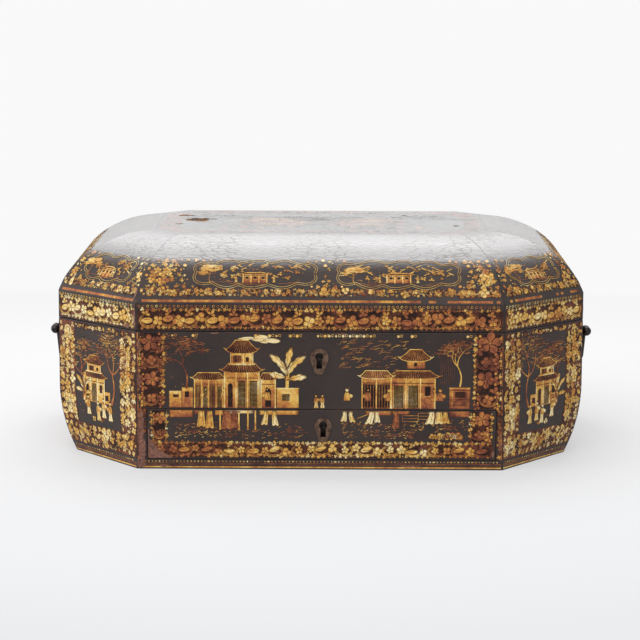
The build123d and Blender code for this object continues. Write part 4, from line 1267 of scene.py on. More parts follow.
# %% Halls
def upper_room(d, x, y, width, height, tone, dark):
    """The small room over a hall of this height: a wall with a barred window and a small one, a ledge
    under it, three posts, and a roof of its own."""
    wall = 0.32 * height
    panel(d, x - width / 2, y, x + width / 2, y + wall, tone, 0, tip=0.1)
    panel(d, x - 0.38 * width, y + 0.18 * wall, x - 0.02 * width, y + 0.8 * wall, 0.16, 2)
    for share in (-0.32, -0.2, -0.08):
        line(d, x + share * width, y + 0.2 * wall, x + share * width, y + 0.78 * wall, 0.2, 0.5, 3)
    panel(d, x + 0.18 * width, y + 0.25 * wall, x + 0.32 * width, y + 0.65 * wall, 0.0, 2)
    line(d, x - width / 2 - 1.2, y, x + width / 2 + 1.2, y, 0.6, tone + 0.2, 3)
    for side in (-0.5, 0.08, 0.5):
        line(d, x + side * width, y, x + side * width, y + wall, 0.5, tone + 0.2, 3)
    roof(d, x, y + wall - 0.3, 1.55 * width, 0.38 * height, dark, ridge=0.38)


def bay_front(d, kind, x, y, bay, height, tone):
    """What fills one bay of a wall: l is a lattice door, a an arch, w a window and o an open bay with
    four bars."""
    if kind == "l":
        lattice(d, x - 0.36 * bay, y + 0.5, x + 0.36 * bay, y + 0.76 * height, 0.8)
    elif kind == "a":
        arch(d, x, y + 0.3, 0.42 * bay, 0.68 * height, 0.02)
    elif kind == "o":
        panel(d, x - 0.44 * bay, y + 0.7, x + 0.44 * bay, y + 0.8 * height, 0.04, 2)
        for share in (-0.3, -0.1, 0.1, 0.3):
            line(d, x + share * bay, y + 0.8, x + share * bay, y + 0.78 * height, 0.22, 0.6, 3)
    else:
        panel(d, x - 0.2 * bay, y + 0.42 * height, x + 0.2 * bay, y + 0.74 * height, 0.02, 2)
        for share in (0.4, 0.76):
            line(d, x - 0.26 * bay, y + share * height, x + 0.26 * bay, y + share * height,
                 0.3, tone + 0.2, 3)


def hall(d, x, y, width, height, tone, plan="alw", storey=True, dark=0.12):
    """A garden hall with its roof, whose tone is dark, and, if it has a storey, a small upper room.
    plan is a letter for each bay of its wall."""
    panel(d, x - width / 2, y, x + width / 2, y + height, tone - 0.08, 0, tip=0.08)
    bay = width / len(plan)
    for k, kind in enumerate(plan):
        bay_front(d, kind, x - width / 2 + (k + 0.5) * bay, y, bay, height, tone)
    for k in range(len(plan) + 1):
        post = x - width / 2 + k * bay
        line(d, post, y, post, y + height, 0.75, tone + 0.18, 3)
    # Worn flecks, and the shadow lines below the roof and at the foot
    for _ in range(int(width * height / 9)):
        at_x, at_y = x + d.random.uniform(-0.48, 0.48) * width, y + d.random.uniform(0.05, 0.97) * height
        line(d, at_x, at_y, at_x + d.random.choice([0.0, 0.9]), at_y + 0.7, 0.2, 0.18, 2)
    line(d, x - width / 2, y + 0.84 * height, x + width / 2, y + 0.84 * height, 0.5, 0.22, 2)
    line(d, x - width / 2, y + 0.3, x + width / 2, y + 0.3, 0.6, tone - 0.25, 2)
    roof(d, x, y + height - 0.4, 1.26 * width, 0.27 * height, dark, ridge=0.62)
    if storey:
        upper_room(d, x, y + 1.22 * height, 0.64 * width, height, tone, dark)


print("halls")


# %% Trees and plants
def tree(d, x, y, height, tone, leaf_tone, lean=0.1, spread=0.5):
    """A thin trunk that forks upward, with leaves as short dashes in flat clouds. Nothing of it goes
    higher than its height."""
    tips = [(x, y, np.pi / 2 + lean, 0.42 * height, 0.035 * height)]
    for level in range(4):
        grown = []
        for foot_x, foot_y, angle, length, width in tips:
            t = np.linspace(0, 1, 5)
            sway = 0.12 * length * np.sin(np.pi * t) * d.random.choice([-1, 1])
            path_x = foot_x + length * t * np.cos(angle) - sway * np.sin(angle)
            path_y = np.minimum(foot_y + length * t * np.sin(angle) + sway * np.cos(angle), y + height)
            d.stroke(np.stack([path_x, path_y], axis=1), width * (1 - 0.45 * t), tone, 2)
            for turn in (-1, 1) if level else (-1, 1, 0.1):
                bent = angle + turn * d.random.uniform(0.4, 0.9) * (0.6 + spread)
                shorter = length * d.random.uniform(0.5, 0.72)
                grown.append((path_x[-1], path_y[-1], bent, shorter, width * 0.55))
        tips = grown
        if level:
            for foot_x, foot_y, angle, length, width in grown:
                for _ in range(7):
                    at = d.random.normal(0, 1, 2) * (0.075 * height, 0.03 * height) + (foot_x, foot_y)
                    at[1] = min(at[1], y + height)
                    long = d.random.uniform(0.5, 1.3)
                    line(d, at[0] - long, at[1] - 0.15, at[0] + long, at[1] + d.random.uniform(-0.3, 0.4),
                         0.24, leaf_tone + d.random.normal(0, 0.1), 2)


def plantain(d, x, y, height, tone):
    """A plantain: a thick stem and big pale leaves with a dark rib and torn edges."""
    line(d, x, y, x + 0.02 * height, y + 0.45 * height, 0.07 * height, tone - 0.1, 2, 4)
    for angle, length, foot in ((1.5, 0.46, 0.46), (2.25, 0.5, 0.42), (0.8, 0.5, 0.42), (2.8, 0.4, 0.26),
                                (0.3, 0.42, 0.22), (1.95, 0.44, 0.3), (1.15, 0.42, 0.3)):
        foot_y = y + foot * height
        petal(d, x, foot_y, length * height, 0.15 * height, angle, tone + d.random.uniform(-0.1, 0.05), 2,
              full=0.35, bend=-0.14 * np.sign(np.cos(angle)), points=24, power=1.5, torn=0.3)
        line(d, x, foot_y, x + 0.8 * length * height * np.cos(angle),
             foot_y + 0.8 * length * height * np.sin(angle), 0.25, 0.25, 3, 3)


def grass(d, x, y, size, tone):
    """Six blades fanned out from one foot."""
    for angle in np.linspace(0.5, 2.6, 6):
        line(d, x, y, x + size * np.cos(angle), y + size * np.sin(angle), 0.22, tone, 2)


print("trees and plants")


# %% People, rocks and ground
def person(d, x, y, height, robe, hem, lower=True):
    """A small figure: a round head with dark hair, a robe with wide sleeves, and, if lower is true, a
    pale skirt down to the ground. robe and hem are their tones."""
    unit = height / 10
    if lower:
        outline = np.array([(-1.7, 0), (0, -0.1), (1.9, 0.1), (1.3, 2.6), (0.9, 5), (-0.9, 5), (-1.2, 2.4)])
        d.blob(outline * unit + (x, y), hem, 2)
        line(d, x + 0.1 * unit, y + 0.3 * unit, x, y + 4.4 * unit, 0.22, 0.2, 3)
    waist = y + 3.6 * unit
    outline = np.array([(-1.6, 0), (1.6, 0), (1.5, 2.4), (0.9, 4.2), (-0.9, 4.2), (-1.5, 2.4)])
    d.blob(outline * unit + (x, waist), robe, 2)
    side = d.random.choice([-1, 1])
    petal(d, x, waist + 3.7 * unit, 3.4 * unit, 1.7 * unit, np.pi / 2 + side * 2.2, robe + 0.1, 2, full=0.7)
    line(d, x - 0.2 * unit, waist + 3.8 * unit, x + 0.9 * side * unit, waist + 0.5 * unit, 0.25, 0.15, 3, 3)
    disc(d, x, waist + 5.2 * unit, 0.9 * unit, robe + 0.16, 2)
    disc(d, x - 0.2 * side * unit, waist + 5.95 * unit, 0.5 * unit, 0.16, 3, 7)


def skirt(d, x, top, wide, height, tone, lean=0.0):
    """The lower part of a robe: it flares to a wavy hem, with dark folds and two shoes."""
    s = np.linspace(-1, 1, 5)
    hem = np.stack([x + lean * height + wide / 2 * s, top - height + 0.5 * np.cos(2.5 * np.pi * s)], axis=1)
    waist = [(x + 0.34 * wide, top - 0.35 * height), (x + 0.28 * wide, top), (x - 0.28 * wide, top),
             (x - 0.34 * wide, top - 0.35 * height)]
    d.blob(np.concatenate([hem, waist]), tone, 2)
    for share in (-0.18, 0.12):
        line(d, x + share * wide, top - 0.5, x + lean * height + 1.7 * share * wide, top - 0.9 * height,
             0.24, 0.2, 3, 3)
    for share in (-0.25, 0.25):
        petal(d, x + lean * height + share * wide, top - height, 1.6, 1.0, -0.5 + 4 * (share < 0), 0.2, 1)


def rocks(d, x0, x1, y, height, tone):
    """A low row of lobed stones that overlap, some pale and some red-brown, with hatching."""
    x = x0 + 0.5 * height
    while x < x1 - 0.4 * height:
        size = height * d.random.uniform(0.34, 0.58)
        shade = tone + d.random.normal(0, 0.13)
        bloom(d, x, y + size * d.random.uniform(0.8, 1.1), size, int(d.random.integers(2, 5)),
              d.random.uniform(0, 6), shade, 2)
        for share in (-0.5, 0.0, 0.5):
            line(d, x + share * size, y + 0.4 * size, x + share * size + 0.6 * size, y + 1.3 * size,
                 0.2, 0.2, 3)
        x = x + size * d.random.uniform(0.75, 1.25)


def ground(d, x0, x1, y0, y1, tone, many, clear=None):
    """Faint level lines for water and earth, with none across the span of clear."""
    for _ in range(many):
        x, y = d.random.uniform(x0, x1), d.random.uniform(y0, y1)
        long = d.random.uniform(2, 7)
        start, end = max(x - long, x0), min(x + long, x1)
        if clear is None or max(start, clear[0]) > min(end, clear[1]):
            line(d, start, y, end, y + d.random.uniform(-0.2, 0.2), 0.22, tone + d.random.normal(0, 0.05), 1)


print("people, rocks and ground")


# %% A whole garden
def garden(d, x0, y0, x1, y1, tone, mirror):
    """A whole scene for one face, in shares of the box, turned over left to right by mirror -1."""
    width, height = x1 - x0, y1 - y0
    middle = (x0 + x1) / 2

    def at(share):
        return middle + mirror * (share - 0.5) * width

    hall(d, at(0.58), y0 + 0.24 * height, min(0.5 * width, 0.8 * height), 0.27 * height, tone)
    tree(d, at(0.16), y0 + 0.24 * height, 0.82 * height, tone - 0.3, lean=0.06 * mirror, spread=0.3,
         leaf_tone=tone - 0.2)
    tree(d, at(0.86), y0 + 0.26 * height, 0.66 * height, tone - 0.4, spread=0.4, leaf_tone=tone - 0.25)
    plantain(d, at(0.84), y0 + 0.24 * height, 0.36 * height, tone + 0.05)
    # A garden wall with a window
    side = at(0.27)
    panel(d, side - 0.08 * width, y0 + 0.24 * height, side + 0.08 * width, y0 + 0.38 * height, tone - 0.1, 0)
    panel(d, side - 0.04 * width, y0 + 0.28 * height, side + 0.04 * width, y0 + 0.34 * height, 0.03, 2)
    for share, drop in ((0.36, 0.04), (0.5, 0.0), (0.74, 0.05), (0.2, 0.02)):
        person(d, at(share), y0 + (0.04 + drop) * height, 0.22 * height, tone - 0.05, tone + 0.18)
    rocks(d, *sorted((at(0.56), at(0.68))), y0 + 0.02 * height, 0.08 * height, tone + 0.05)
    ground(d, x0, x1, y0 + 0.02 * height, y0 + 0.2 * height, 0.3, int(width / 6))
    grass(d, at(0.44), y0 + 0.03 * height, 0.07 * height, tone - 0.2)
    # Faint foliage over it all
    for _ in range(int(width * height / 45)):
        x, y = d.random.uniform(x0, x1), y0 + d.random.uniform(0.6, 1.0) * height
        line(d, x, y, x + d.random.uniform(0.6, 2.0), y + d.random.uniform(-0.5, 0.5), 0.22,
             d.random.uniform(0.15, 0.42), 1)


print("a garden has a hall, two trees, a plantain and four people")

# %% [markdown]
# ## The front and the drawer
# The front carries one garden that runs down over the drawer: a two-storeyed hall on the left with a
# plantain beside it, and a long hall with a verandah on the right. Flowers frame it on three sides.
# The sizes are read from the photograph, in millimetres from the middle and from the table, or from
# the line just above the drawer. The part that is on the drawer is drawn apart, to slide out with it.

# %% Lines that the paint keeps to
seam_room = 0.5
low_edge = 0.4
edge_room = 0.5
pearl_up = 5.25
wall_top = case_top - seam_room
drawer_top = drawer_high[2]
above_drawer = drawer_top + 1.3
keyhole_middle, keyhole_clear = -0.5, 9.5  # no foliage is closer than this to the keyhole plate
print("paint on the front from", low_edge, "to", wall_top, "mm up")


# %% Front borders
def base_lines(d, half_low, tone):
    """The gold stripe and the pearls on the edge of the base board."""
    reach = half_low - edge_room - 0.3
    for up, wide, darker in ((1.0, 0.9, 0.05), (2.6, 0.4, 0.4), (3.6, 0.3, 0.3)):
        line(d, -reach, low_edge + up, reach, low_edge + up, wide, tone - darker, 0, 12)
    pearls(d, -reach, reach, pearl_up, 2.35, 0.62, tone)


def seam_row(d, x0, x1, y, tone, dense):
    """Small scallops that hang under the seam, in the share of the places that dense gives."""
    for x in np.arange(x0, x1, 4.6):
        if d.random.random() < dense:
            disc(d, x, y, d.random.uniform(0.9, 1.35), tone, 1)
            circle(d, x + 2.2, y + 0.3, 0.8, tone - 0.1)


front = Drawing(11, case_room(0))
for low, high, shade in ((-front_half + edge_room, -103.0, 0.40), (101.5, front_half - edge_room, 0.42)):
    tall_border(front, (low, above_drawer, high, wall_top), lambda x, y, s=shade: s, 0.2)
base_lines(front, front_half, 0.72)
rubbed_edges(front, front_half - 0.75, base_top, wall_top)
for x0, x1, shade, dense in ((6, 36, 0.95, 1.0), (-98, 4, 0.8, 0.35), (38, 98, 0.85, 0.25)):
    seam_row(front, x0, x1, wall_top - 2.0, shade, dense)
print("front borders", front.count())

# %% The left hall, with its wings, gate wall and plantain
hall(front, -52.0, above_drawer, 23.0, 24.0, 0.68, "all")
hall(front, -74.0, above_drawer, 19.0, 19.0, 0.52, "olol", storey=False)
hall(front, -34.5, above_drawer, 9.5, 19.0, 0.7, "a", storey=False)
for x0, low, x1, high, shade, layer, tip in (
    (-100.5, 0.0, -92.0, 11.5, 0.66, 0, 0.1), (-97.8, 7.0, -94.0, 9.0, 0.1, 2, 0.0),
    (-92.0, 0.0, -84.5, 14.0, 0.6, 0, 0.1), (-90.0, 7.0, -87.2, 11.0, 0.1, 2, 0.0),
    (-29.0, 0.0, -14.0, 13.5, 0.68, 0, 0.1),
):
    panel(front, x0, above_drawer + low, x1, above_drawer + high, shade, layer, tip)
lattice(front, -25.5, above_drawer + 5.0, -20.0, above_drawer + 9.5, 0.8)
line(front, -29.0, above_drawer + 13.3, -14.0, above_drawer + 13.3, 0.7, 0.9, 2)
plantain(front, -22.0, above_drawer + 12.0, 32.0, 0.9)
tree(front, -89.0, above_drawer + 13.0, 38.0, 0.34, lean=0.15, spread=0.6, leaf_tone=0.4)
# A cloud over the roof
for x, y, length, wide, angle in (
    (-55.0, 88.4, 12.0, 2.2, 0.06), (-46.0, 88.2, 12.0, 4.6, 0.1), (-38.0, 87.6, 12.0, 3.4, -0.06),
    (-41.0, 86.6, 7.0, 1.6, -0.1),
):
    petal(front, x, y, length, wide, angle, 0.95, 2, full=0.2, points=14, power=1.2)
    line(front, x + 1.5, y, x + length - 2, y + 0.5, 0.2, 0.4, 3, 4)
for x, robe in ((-76.0, 0.6), (-64.0, 0.55), (-35.0, 0.7)):
    person(front, x, above_drawer, 14.0, robe, robe, lower=False)
for x in (-2.6, 1.6):
    person(front, x, above_drawer, 9.5, 0.62, 0.85)
print("with the left hall", front.count())

# %% The right hall, with its verandah, turret, gate and tree
hall(front, 62.0, above_drawer, 29.0, 20.5, 0.63, "llw", storey=False)
hall(front, 37.5, above_drawer, 19.0, 20.5, 0.6, "oo", storey=False, dark=0.34)
panel(front, 57.5, above_drawer + 27.0, 70.0, above_drawer + 32.5, 0.54, 0, 0.1)
panel(front, 62.5, above_drawer + 28.6, 64.5, above_drawer + 31.0, 0.0, 2)
roof(front, 63.5, above_drawer + 32.0, 23.0, 8.0, 0.2, ridge=0.35)
panel(front, 86.0, above_drawer, 100.0, above_drawer + 14.5, 0.42, 0, 0.05)
lattice(front, 89.5, above_drawer + 7.5, 97.0, above_drawer + 11.5, 0.45)
for y in (2.5, 6.2, 12.6):
    line(front, 86.6, above_drawer + y, 99.4, above_drawer + y, 0.4, 0.16, 2)
for x in (88.0, 98.6):
    line(front, x, above_drawer + 0.6, x, above_drawer + 12.2, 0.4, 0.6, 3)
line(front, 86.0, above_drawer + 14.0, 100.0, above_drawer + 14.0, 0.8, 0.62, 2)
tree(front, 93.0, above_drawer + 15.0, 33.0, 0.72, lean=0.12, spread=0.3, leaf_tone=0.36)
# Faint upright strokes beside the tree
for x in np.arange(80.0, 90.0, 1.3):
    line(front, x, above_drawer + 17.0, x + 0.3, wall_top - 8.0, 0.18, 0.3, 1, 4)
print("with the right hall", front.count())

# %% Foliage, people and stiles
# Clear dashes over the verandah
for _ in range(150):
    x, y = front.random.uniform(12.0, 60.0), front.random.uniform(above_drawer + 26.0, wall_top - 4.0)
    if x < 50.0 or y > above_drawer + 40.0:
        line(front, x, y, x + front.random.uniform(1.5, 3.6), y + front.random.uniform(-0.4, 1.6), 0.24,
             front.random.uniform(0.42, 0.7), 1)
# Faint ones in the open ground, and a third lot along the top
for _ in range(260):
    x, y = front.random.uniform(-100.0, 99.0), front.random.uniform(above_drawer + 8.0, wall_top - 4.5)
    if abs(x - keyhole_middle) > keyhole_clear and not -88 < x < -16 and not 24 < x < 86:
        lean = front.random.uniform(-0.6, 0.6)
        line(front, x, y, x + front.random.uniform(0.5, 1.8), y + lean,
             0.22, front.random.uniform(0.15, 0.4), 1)
for _ in range(120):
    x, y = front.random.uniform(-88.0, 88.0), front.random.uniform(wall_top - 16.0, wall_top - 4.5)
    if abs(x - keyhole_middle) > keyhole_clear:
        line(front, x, y, x + front.random.uniform(0.5, 1.6), y + 0.3,
             0.22, front.random.uniform(0.15, 0.36), 1)
for x, robe in ((18.0, 0.75), (32.0, 0.6), (46.0, 0.6), (76.0, 0.6), (80.0, 0.45)):
    person(front, x, above_drawer, 14.0, robe, robe, lower=False)
# The narrow stiles beside the drawer, the left one worn
left_stile, right_stile = drawer_low[0] - 0.5, drawer_high[0] + 0.6
brocade(front, (-front_half + 0.8, 24.0, left_stile, above_drawer), 3.6,
        lambda x, y: 0.45, curls=0, fill=0.6)
brocade(front, (right_stile, base_top + 0.8, front_half - edge_room, above_drawer), 3.2,
        lambda x, y: 0.55, curls=0)
paint("front_wall_painting", front, case_face(0), "case")

# %% Drawer borders
drawer = Drawing(12)
drawer_left, drawer_right = drawer_low[0] + 0.5, drawer_high[0] - 0.5
drawer_foot, drawer_head = drawer_low[2] + 0.8, drawer_top - 0.4
border_top = 19.4


def drawer_tone(x, y):
    """Gold along the middle of the drawer's border, red-brown towards its ends."""
    return 0.74 - 0.3 * np.clip((abs(x - 15) - 45) / 60, 0, 1) ** 1.2


scroll_border(drawer, (drawer_left + 1.0, drawer_foot + 0.4, drawer_right - 1.0, border_top), drawer_tone,
              15.0, 0.16)
for low, high, shade in ((drawer_left + 1.0, -101.0, 0.5), (99.0, drawer_right - 1.0, 0.46)):
    tall_border(drawer, (low, border_top, high, drawer_head), lambda x, y, s=shade: s, 0.25)
print("drawer borders", drawer.count())

# %% What stands on the drawer
# The feet of walls and posts, the lower robes, a railing, rocks and water
for x0, x1, depth, shade in (
    (-100.5, -84.5, 5.0, 0.5), (-84.0, -76.0, 3.0, 0.3), (-70.0, -64.5, 3.5, 0.55), (-64.0, -44.0, 2.2, 0.95),
    (-40.5, -30.0, 3.0, 0.7), (-30.0, -14.0, 3.0, 0.66), (30.0, 48.0, 3.0, 0.5), (48.0, 60.0, 2.4, 0.5),
    (86.0, 100.0, 4.0, 0.42),
):
    panel(drawer, x0, drawer_head - depth, x1, drawer_head, shade, 0, 0.1)
for x, wide, height, shade in (
    (-79.0, 6.4, 11.0, 0.76), (-73.5, 6.0, 12.0, 0.7), (-62.0, 8.0, 12.5, 0.4), (-57.0, 6.0, 12.0, 0.34),
):
    skirt(drawer, x, drawer_head - 0.3, wide, height, shade)
line(drawer, -66.0, 29.0, -53.0, 28.6, 0.6, 0.5, 2, 4)
for x in (-66.5, -54.0, -48.0, -43.0):
    line(drawer, x, 27.5, x, drawer_head, 1.0, 0.7, 2, 4)
    disc(drawer, x, 27.4, 0.9, 0.72, 2, 7)
for x, wide, height, shade, lean in (
    (-36.0, 4.6, 9.5, 0.8, -0.12), (-30.5, 4.6, 10.0, 0.8, 0.1), (16.5, 4.4, 7.0, 0.98, -0.1),
    (20.5, 4.0, 7.5, 0.98, 0.2), (34.5, 5.4, 8.6, 0.99, -0.25), (38.0, 4.2, 7.6, 0.97, 0.05),
    (51.0, 5.2, 11.0, 0.5, -0.05), (74.5, 6.0, 8.6, 0.93, -0.2), (79.5, 6.4, 8.4, 0.9, 0.0),
    (83.5, 5.0, 8.0, 0.82, 0.1),
):
    skirt(drawer, x, drawer_head - 0.3, wide, height, shade, lean)
line(drawer, 25.0, 35.0, 31.5, 37.5, 0.4, 0.7, 2)
for x0, y0, x1, y1 in ((55.0, 33.0, 65.5, 37.0), (65.5, 34.6, 77.0, 38.8)):
    for x_a, y_a, x_b, y_b in ((x0, y0, x1, y0), (x0, y1, x1, y1), (x0, y0, x0, y1), (x1, y0, x1, y1)):
        line(drawer, x_a, y_a, x_b, y_b, 0.35, 0.55, 1)
    line(drawer, x0, (y0 + y1) / 2, x1, (y0 + y1) / 2, 0.3, 0.5, 1)
rocks(drawer, 72.0, 96.0, 20.4, 5.4, 0.78)
rocks(drawer, 80.0, 95.0, 21.0, 4.6, 0.6)
ground(drawer, -98, 96, 20.5, 32.0, 0.3, 60, clear=(-7.5, 12.0))
for x, y in ((-84.0, 24.0), (-60.0, 21.5), (30.0, 24.0), (60.0, 22.0), (86.0, 27.0), (-20.0, 25.0)):
    grass(drawer, x, y, 3.6, 0.36)
for x0, x1, y0, y1, shade, many in (
    (-98.0, -70.0, 21.0, 31.0, 0.6, 80), (-70.0, -30.0, 21.0, 27.0, 0.5, 50),
    (-30.0, -12.0, 21.5, 31.0, 0.5, 30), (14.0, 36.0, 21.5, 32.0, 0.6, 50),
    (36.0, 62.0, 21.0, 31.0, 0.55, 60), (62.0, 98.0, 26.0, 34.0, 0.6, 60),
):
    specks(drawer, x0, x1, y0, y1, shade, many)
paint("drawer_painting", drawer, case_face(0), "drawer")

# %% [markdown]
# ## Bare patches and chips
# Where hands and the drawer rub, the black has gone and the pinkish red-brown ground under it shows.
# In the worst places on the top the film has flaked off down to dry wood. Masks in the lacquer could
# do this too, but patches as thin shapes can be put exactly where the photograph has them. Each is
# a ragged flat shape whose edge wanders in and out.

# %% Bare ground and bare wood
ground_grain = 1.6 * mm
chip_grain = 5 * mm
bare_ground, shader, where = new_material("bare_red_brown_ground")
grains = add_node(shader, "ShaderNodeTexNoise", {
    "Vector": where, "Scale": 1 / ground_grain, "Detail": 6.0, "Roughness": 0.75,
})
tint = add_node(shader, "ShaderNodeValToRGB", {"Fac": grains.outputs["Fac"]},
                stops=[(0.34, "#38211a"), (0.46, "#683f31"), (0.58, "#855745"), (0.72, "#a47b68")])
skin = film(shader, where, tint, 0.5)
add_node(shader, "ShaderNodeOutputMaterial", {"Surface": skin})
bare_wood, shader, where = new_material("bare_wood_in_chips")
grains = add_node(shader, "ShaderNodeTexNoise", {"Vector": where, "Scale": 1 / chip_grain, "Detail": 5.0})
tint = add_node(shader, "ShaderNodeValToRGB", {"Fac": grains.outputs["Fac"]},
                stops=[(0.42, "#241b17"), (0.52, "#54402f"), (0.6, "#a8703f"), (0.7, "#6f5a42")])
skin = add_node(shader, "ShaderNodeBsdfPrincipled", {
    "Base Color": tint, "Roughness": 0.9, "Specular IOR Level": 0.15,
})
add_node(shader, "ShaderNodeOutputMaterial", {"Surface": skin})
print("bare ground and bare wood made")


# %% Patches on the front
def patch(d, x, y, wide, high, layer=2):
    """A ragged patch round a middle: an oval whose radius has three slow waves and a random step at
    each point."""
    points = 26
    t = turns(points)
    ragged = 1 + 0.14 * np.sin(3 * t + d.random.uniform(0, 6)) + d.random.uniform(-0.22, 0.16, points)
    ring = np.stack([wide / 2 * ragged * np.cos(t), high / 2 * ragged * np.sin(t)], axis=1)
    d.blob(ring + (x, y), 0.5, layer)


front_wear = Drawing(70)
for place in (
    (-119.3, 33.0, 3.4, 20.0), (-118.9, 18.0, 4.8, 22.0), (-120.2, 60.0, 1.6, 14.0),
    (-120.3, 82.0, 1.2, 9.0), (-118.7, 3.4, 4.6, 5.0), (-118.6, 9.0, 5.0, 8.0), (120.3, 20.0, 1.4, 16.0),
    (-121.0, 24.0, 1.7, 36.0), (-121.2, 62.0, 1.2, 24.0), (-121.0, 4.0, 1.6, 7.0),
    (-104.0, 2.2, 7.0, 1.6), (60.0, 2.4, 12.0, 1.2), (14.0, 92.0, 9.0, 0.9), (-70.0, 92.1, 6.0, 0.8),
):
    patch(front_wear, *place)
paint("front_wall_wear", front_wear, case_face(0), "case", bare_ground)

# %% Patches on the drawer
# The last one is the bare corner at its lower left, a triangle whose long side sags and wavers
corner_wide, corner_high = 17.0, 14.0
drawer_wear = Drawing(71)
for place in (
    (-113.3, 15.5, 2.6, 8.0), (115.4, 11.0, 2.4, 5.0), (-57.0, 39.2, 9.0, 1.4), (-114.2, 24.0, 1.2, 8.0),
):
    patch(drawer_wear, *place)
corner_x, corner_y = drawer_low[0] + 0.5, drawer_low[2] + 0.5
t = np.linspace(0, 1, 12)
slope = np.stack([corner_x + corner_wide * (1 - t), corner_y + corner_high * t**1.6], axis=1)
slope += drawer_wear.random.uniform(-0.5, 0.5, slope.shape) * np.sin(np.pi * t)[:, None]
drawer_wear.blob(np.concatenate([[(corner_x, corner_y)], slope]), 0.5, 3)
paint("drawer_wear", drawer_wear, case_face(0), "drawer", bare_ground)

# %% [markdown]
# ## The other sides of the case
# The cut corners and the ends each have a scene of their own in a frame of gold leaves. The light
# and the wear differ from side to side, so each gets its own seed, its own tones, which hold painted
# light as well as the wear, and its own way round. On the cut corners the leaves are laid close, with
# no order to them, and on the other sides they run in borders.

# %% Case sides
foot_frame = 22.5
# The tone of the scene, the tone of its border, both with painted light in them as well as wear, and 1 or -1
# for which way round the garden is
case_sides = {
    1: (0.74, 0.86, 1), 2: (0.66, 0.72, -1), 3: (0.62, 0.70, 1), 4: (0.62, 0.66, -1),
    5: (0.64, 0.72, 1), 6: (0.70, 0.74, 1), 7: (0.8, 0.87, -1),
}


def side_frame(side, index, half, frame_width, tone):
    """The frame of one side: along the foot, up both edges and under the seam."""
    foot = (-half, base_top + 0.9, half, foot_frame)
    uprights = [(low, foot_frame, low + frame_width, wall_top - 0.5) for low in (-half, half - frame_width)]
    if index % 2:
        for box in [foot] + uprights:
            wash(side, box, 0.22)
            brocade(side, box, 5.5, lambda x, y: tone - 0.05, curls=0.5, under=0.14)
    else:
        scroll_border(side, foot, lambda x, y: tone - 0.06, 14.0, 0.16)
        for box in uprights:
            tall_border(side, box, lambda x, y: tone - 0.08, 0.12, 0.16)
    brocade(side, (-half + frame_width, wall_top - 4.8, half - frame_width, wall_top - 0.3), 3.6,
            lambda x, y: tone - 0.1, curls=0.0, fill=0.8)
    base_lines(side, half, tone - 0.08)
    rubbed_edges(side, half + 0.25, base_top, wall_top)


for index, (scene_tone, border_tone, way) in case_sides.items():
    side = Drawing(20 + index, case_room(index))
    half = case_lengths[index] / 2 - edge_room
    frame_width = 17.0 if index % 2 else 14.0
    side_frame(side, index, half, frame_width, border_tone)
    inner = half - frame_width - 1.0
    specks(side, -inner, inner - 2.0, foot_frame + 4.0, wall_top - 6.0, 0.3, int(3 * inner))
    gardens = 2 if index == 4 else 1
    for k in range(gardens):
        x0 = -inner + 2 * inner * k / gardens
        garden(side, x0 + 1, foot_frame + 1.5, x0 + 2 * inner / gardens - 1, wall_top - 6.0, scene_tone,
               way if k == 0 else -way)
    paint(f"{face_names[index]}_wall_painting", side, case_face(index, 0.03), "case")

# %% [markdown]
# ## The lid
# The upright band of the lid is packed with gold leaves between a row of rings and the seam. Above
# it an orange-gold stripe with a black line on each side marks the shoulder. The coved part has
# lobed panels drawn in thin double lines, with clusters of flowers filling the corners between them.
# A function that tells how far a place is outside every panel keeps the flowers off them.

# %% The band and the stripe
stripe_low, stripe_high = band_height + 0.4, band_height + 3.0


def lid_band(side, index, half, tone):
    """Scrolls, rubbed upright edges, a row of rings over them and a dark line below. On the front
    the gold dulls to the right, and four motifs in ten keep more of it."""
    def shade(x, y):
        if index:
            return tone
        return tone - 0.09 * np.clip((x + 20) / 120, 0, 1) + 0.12 * (side.random.random() < 0.4)

    scroll_border(side, (-half, 1.2, half, band_height - 2.8), shade, 14.5, 0.2 if index % 2 else 0.1)
    rubbed_edges(side, half + 0.25, 0.6, stripe_low)
    for x in np.arange(-half + 1.5, half - 1.5, 2.9):
        circle(side, x, band_height - 1.9, 0.75, tone + side.random.normal(0.05, 0.1))
    line(side, -half, 0.7, half, 0.7, 0.35, 0.12, 0, 20)


def lid_stripe(side, index, half):
    """The stripe in lengths of 2.5 mm, which come and go where it has worn: towards the right of the
    front and on both corners on that side."""
    y = (stripe_low + stripe_high) / 2
    kept = True
    for x in np.arange(-half + 0.65, half - 3.1, 2.5):
        worn_here = index == 0 and x > 55 or index in (1, 3)
        if side.random.random() < (0.3 if worn_here else 0.02):
            kept = not kept
        if kept or not worn_here:
            line(side, x, y, x + 2.5, y, 1.7, 0.52 + side.random.normal(0, 0.03), 0, 3)


print("stripe from", stripe_low, "to", stripe_high, "mm up the lid")


# %% Lobed panels
def lobed_line(d, x, y, wide, high, tone):
    """A closed double line round a panel: a rounded rectangle that swells out between small cusps,
    by 2.8 * |sin(pi * distance / lobe)| millimetres, with lobes about 19 mm long."""
    t = np.linspace(0, 2 * np.pi, 161)
    base = np.stack([wide * np.sign(np.cos(t)) * np.abs(np.cos(t)) ** 0.62,
                     high * np.sign(np.sin(t)) * np.abs(np.sin(t)) ** 0.7], axis=1)
    step = np.gradient(base, axis=0)
    long = np.linalg.norm(step, axis=1)
    gone = np.cumsum(long)
    lobe = gone[-1] / round(gone[-1] / 19.0)
    out = np.stack([step[:, 1], -step[:, 0]], axis=1) / long[:, None]
    swell = 2.8 * np.abs(np.sin(np.pi * gone / lobe))
    for inset in (2.0, 3.5):
        d.stroke(base[:-1] + out[:-1] * (swell - inset)[:-1, None] + (x, y), 0.24, tone, 3)


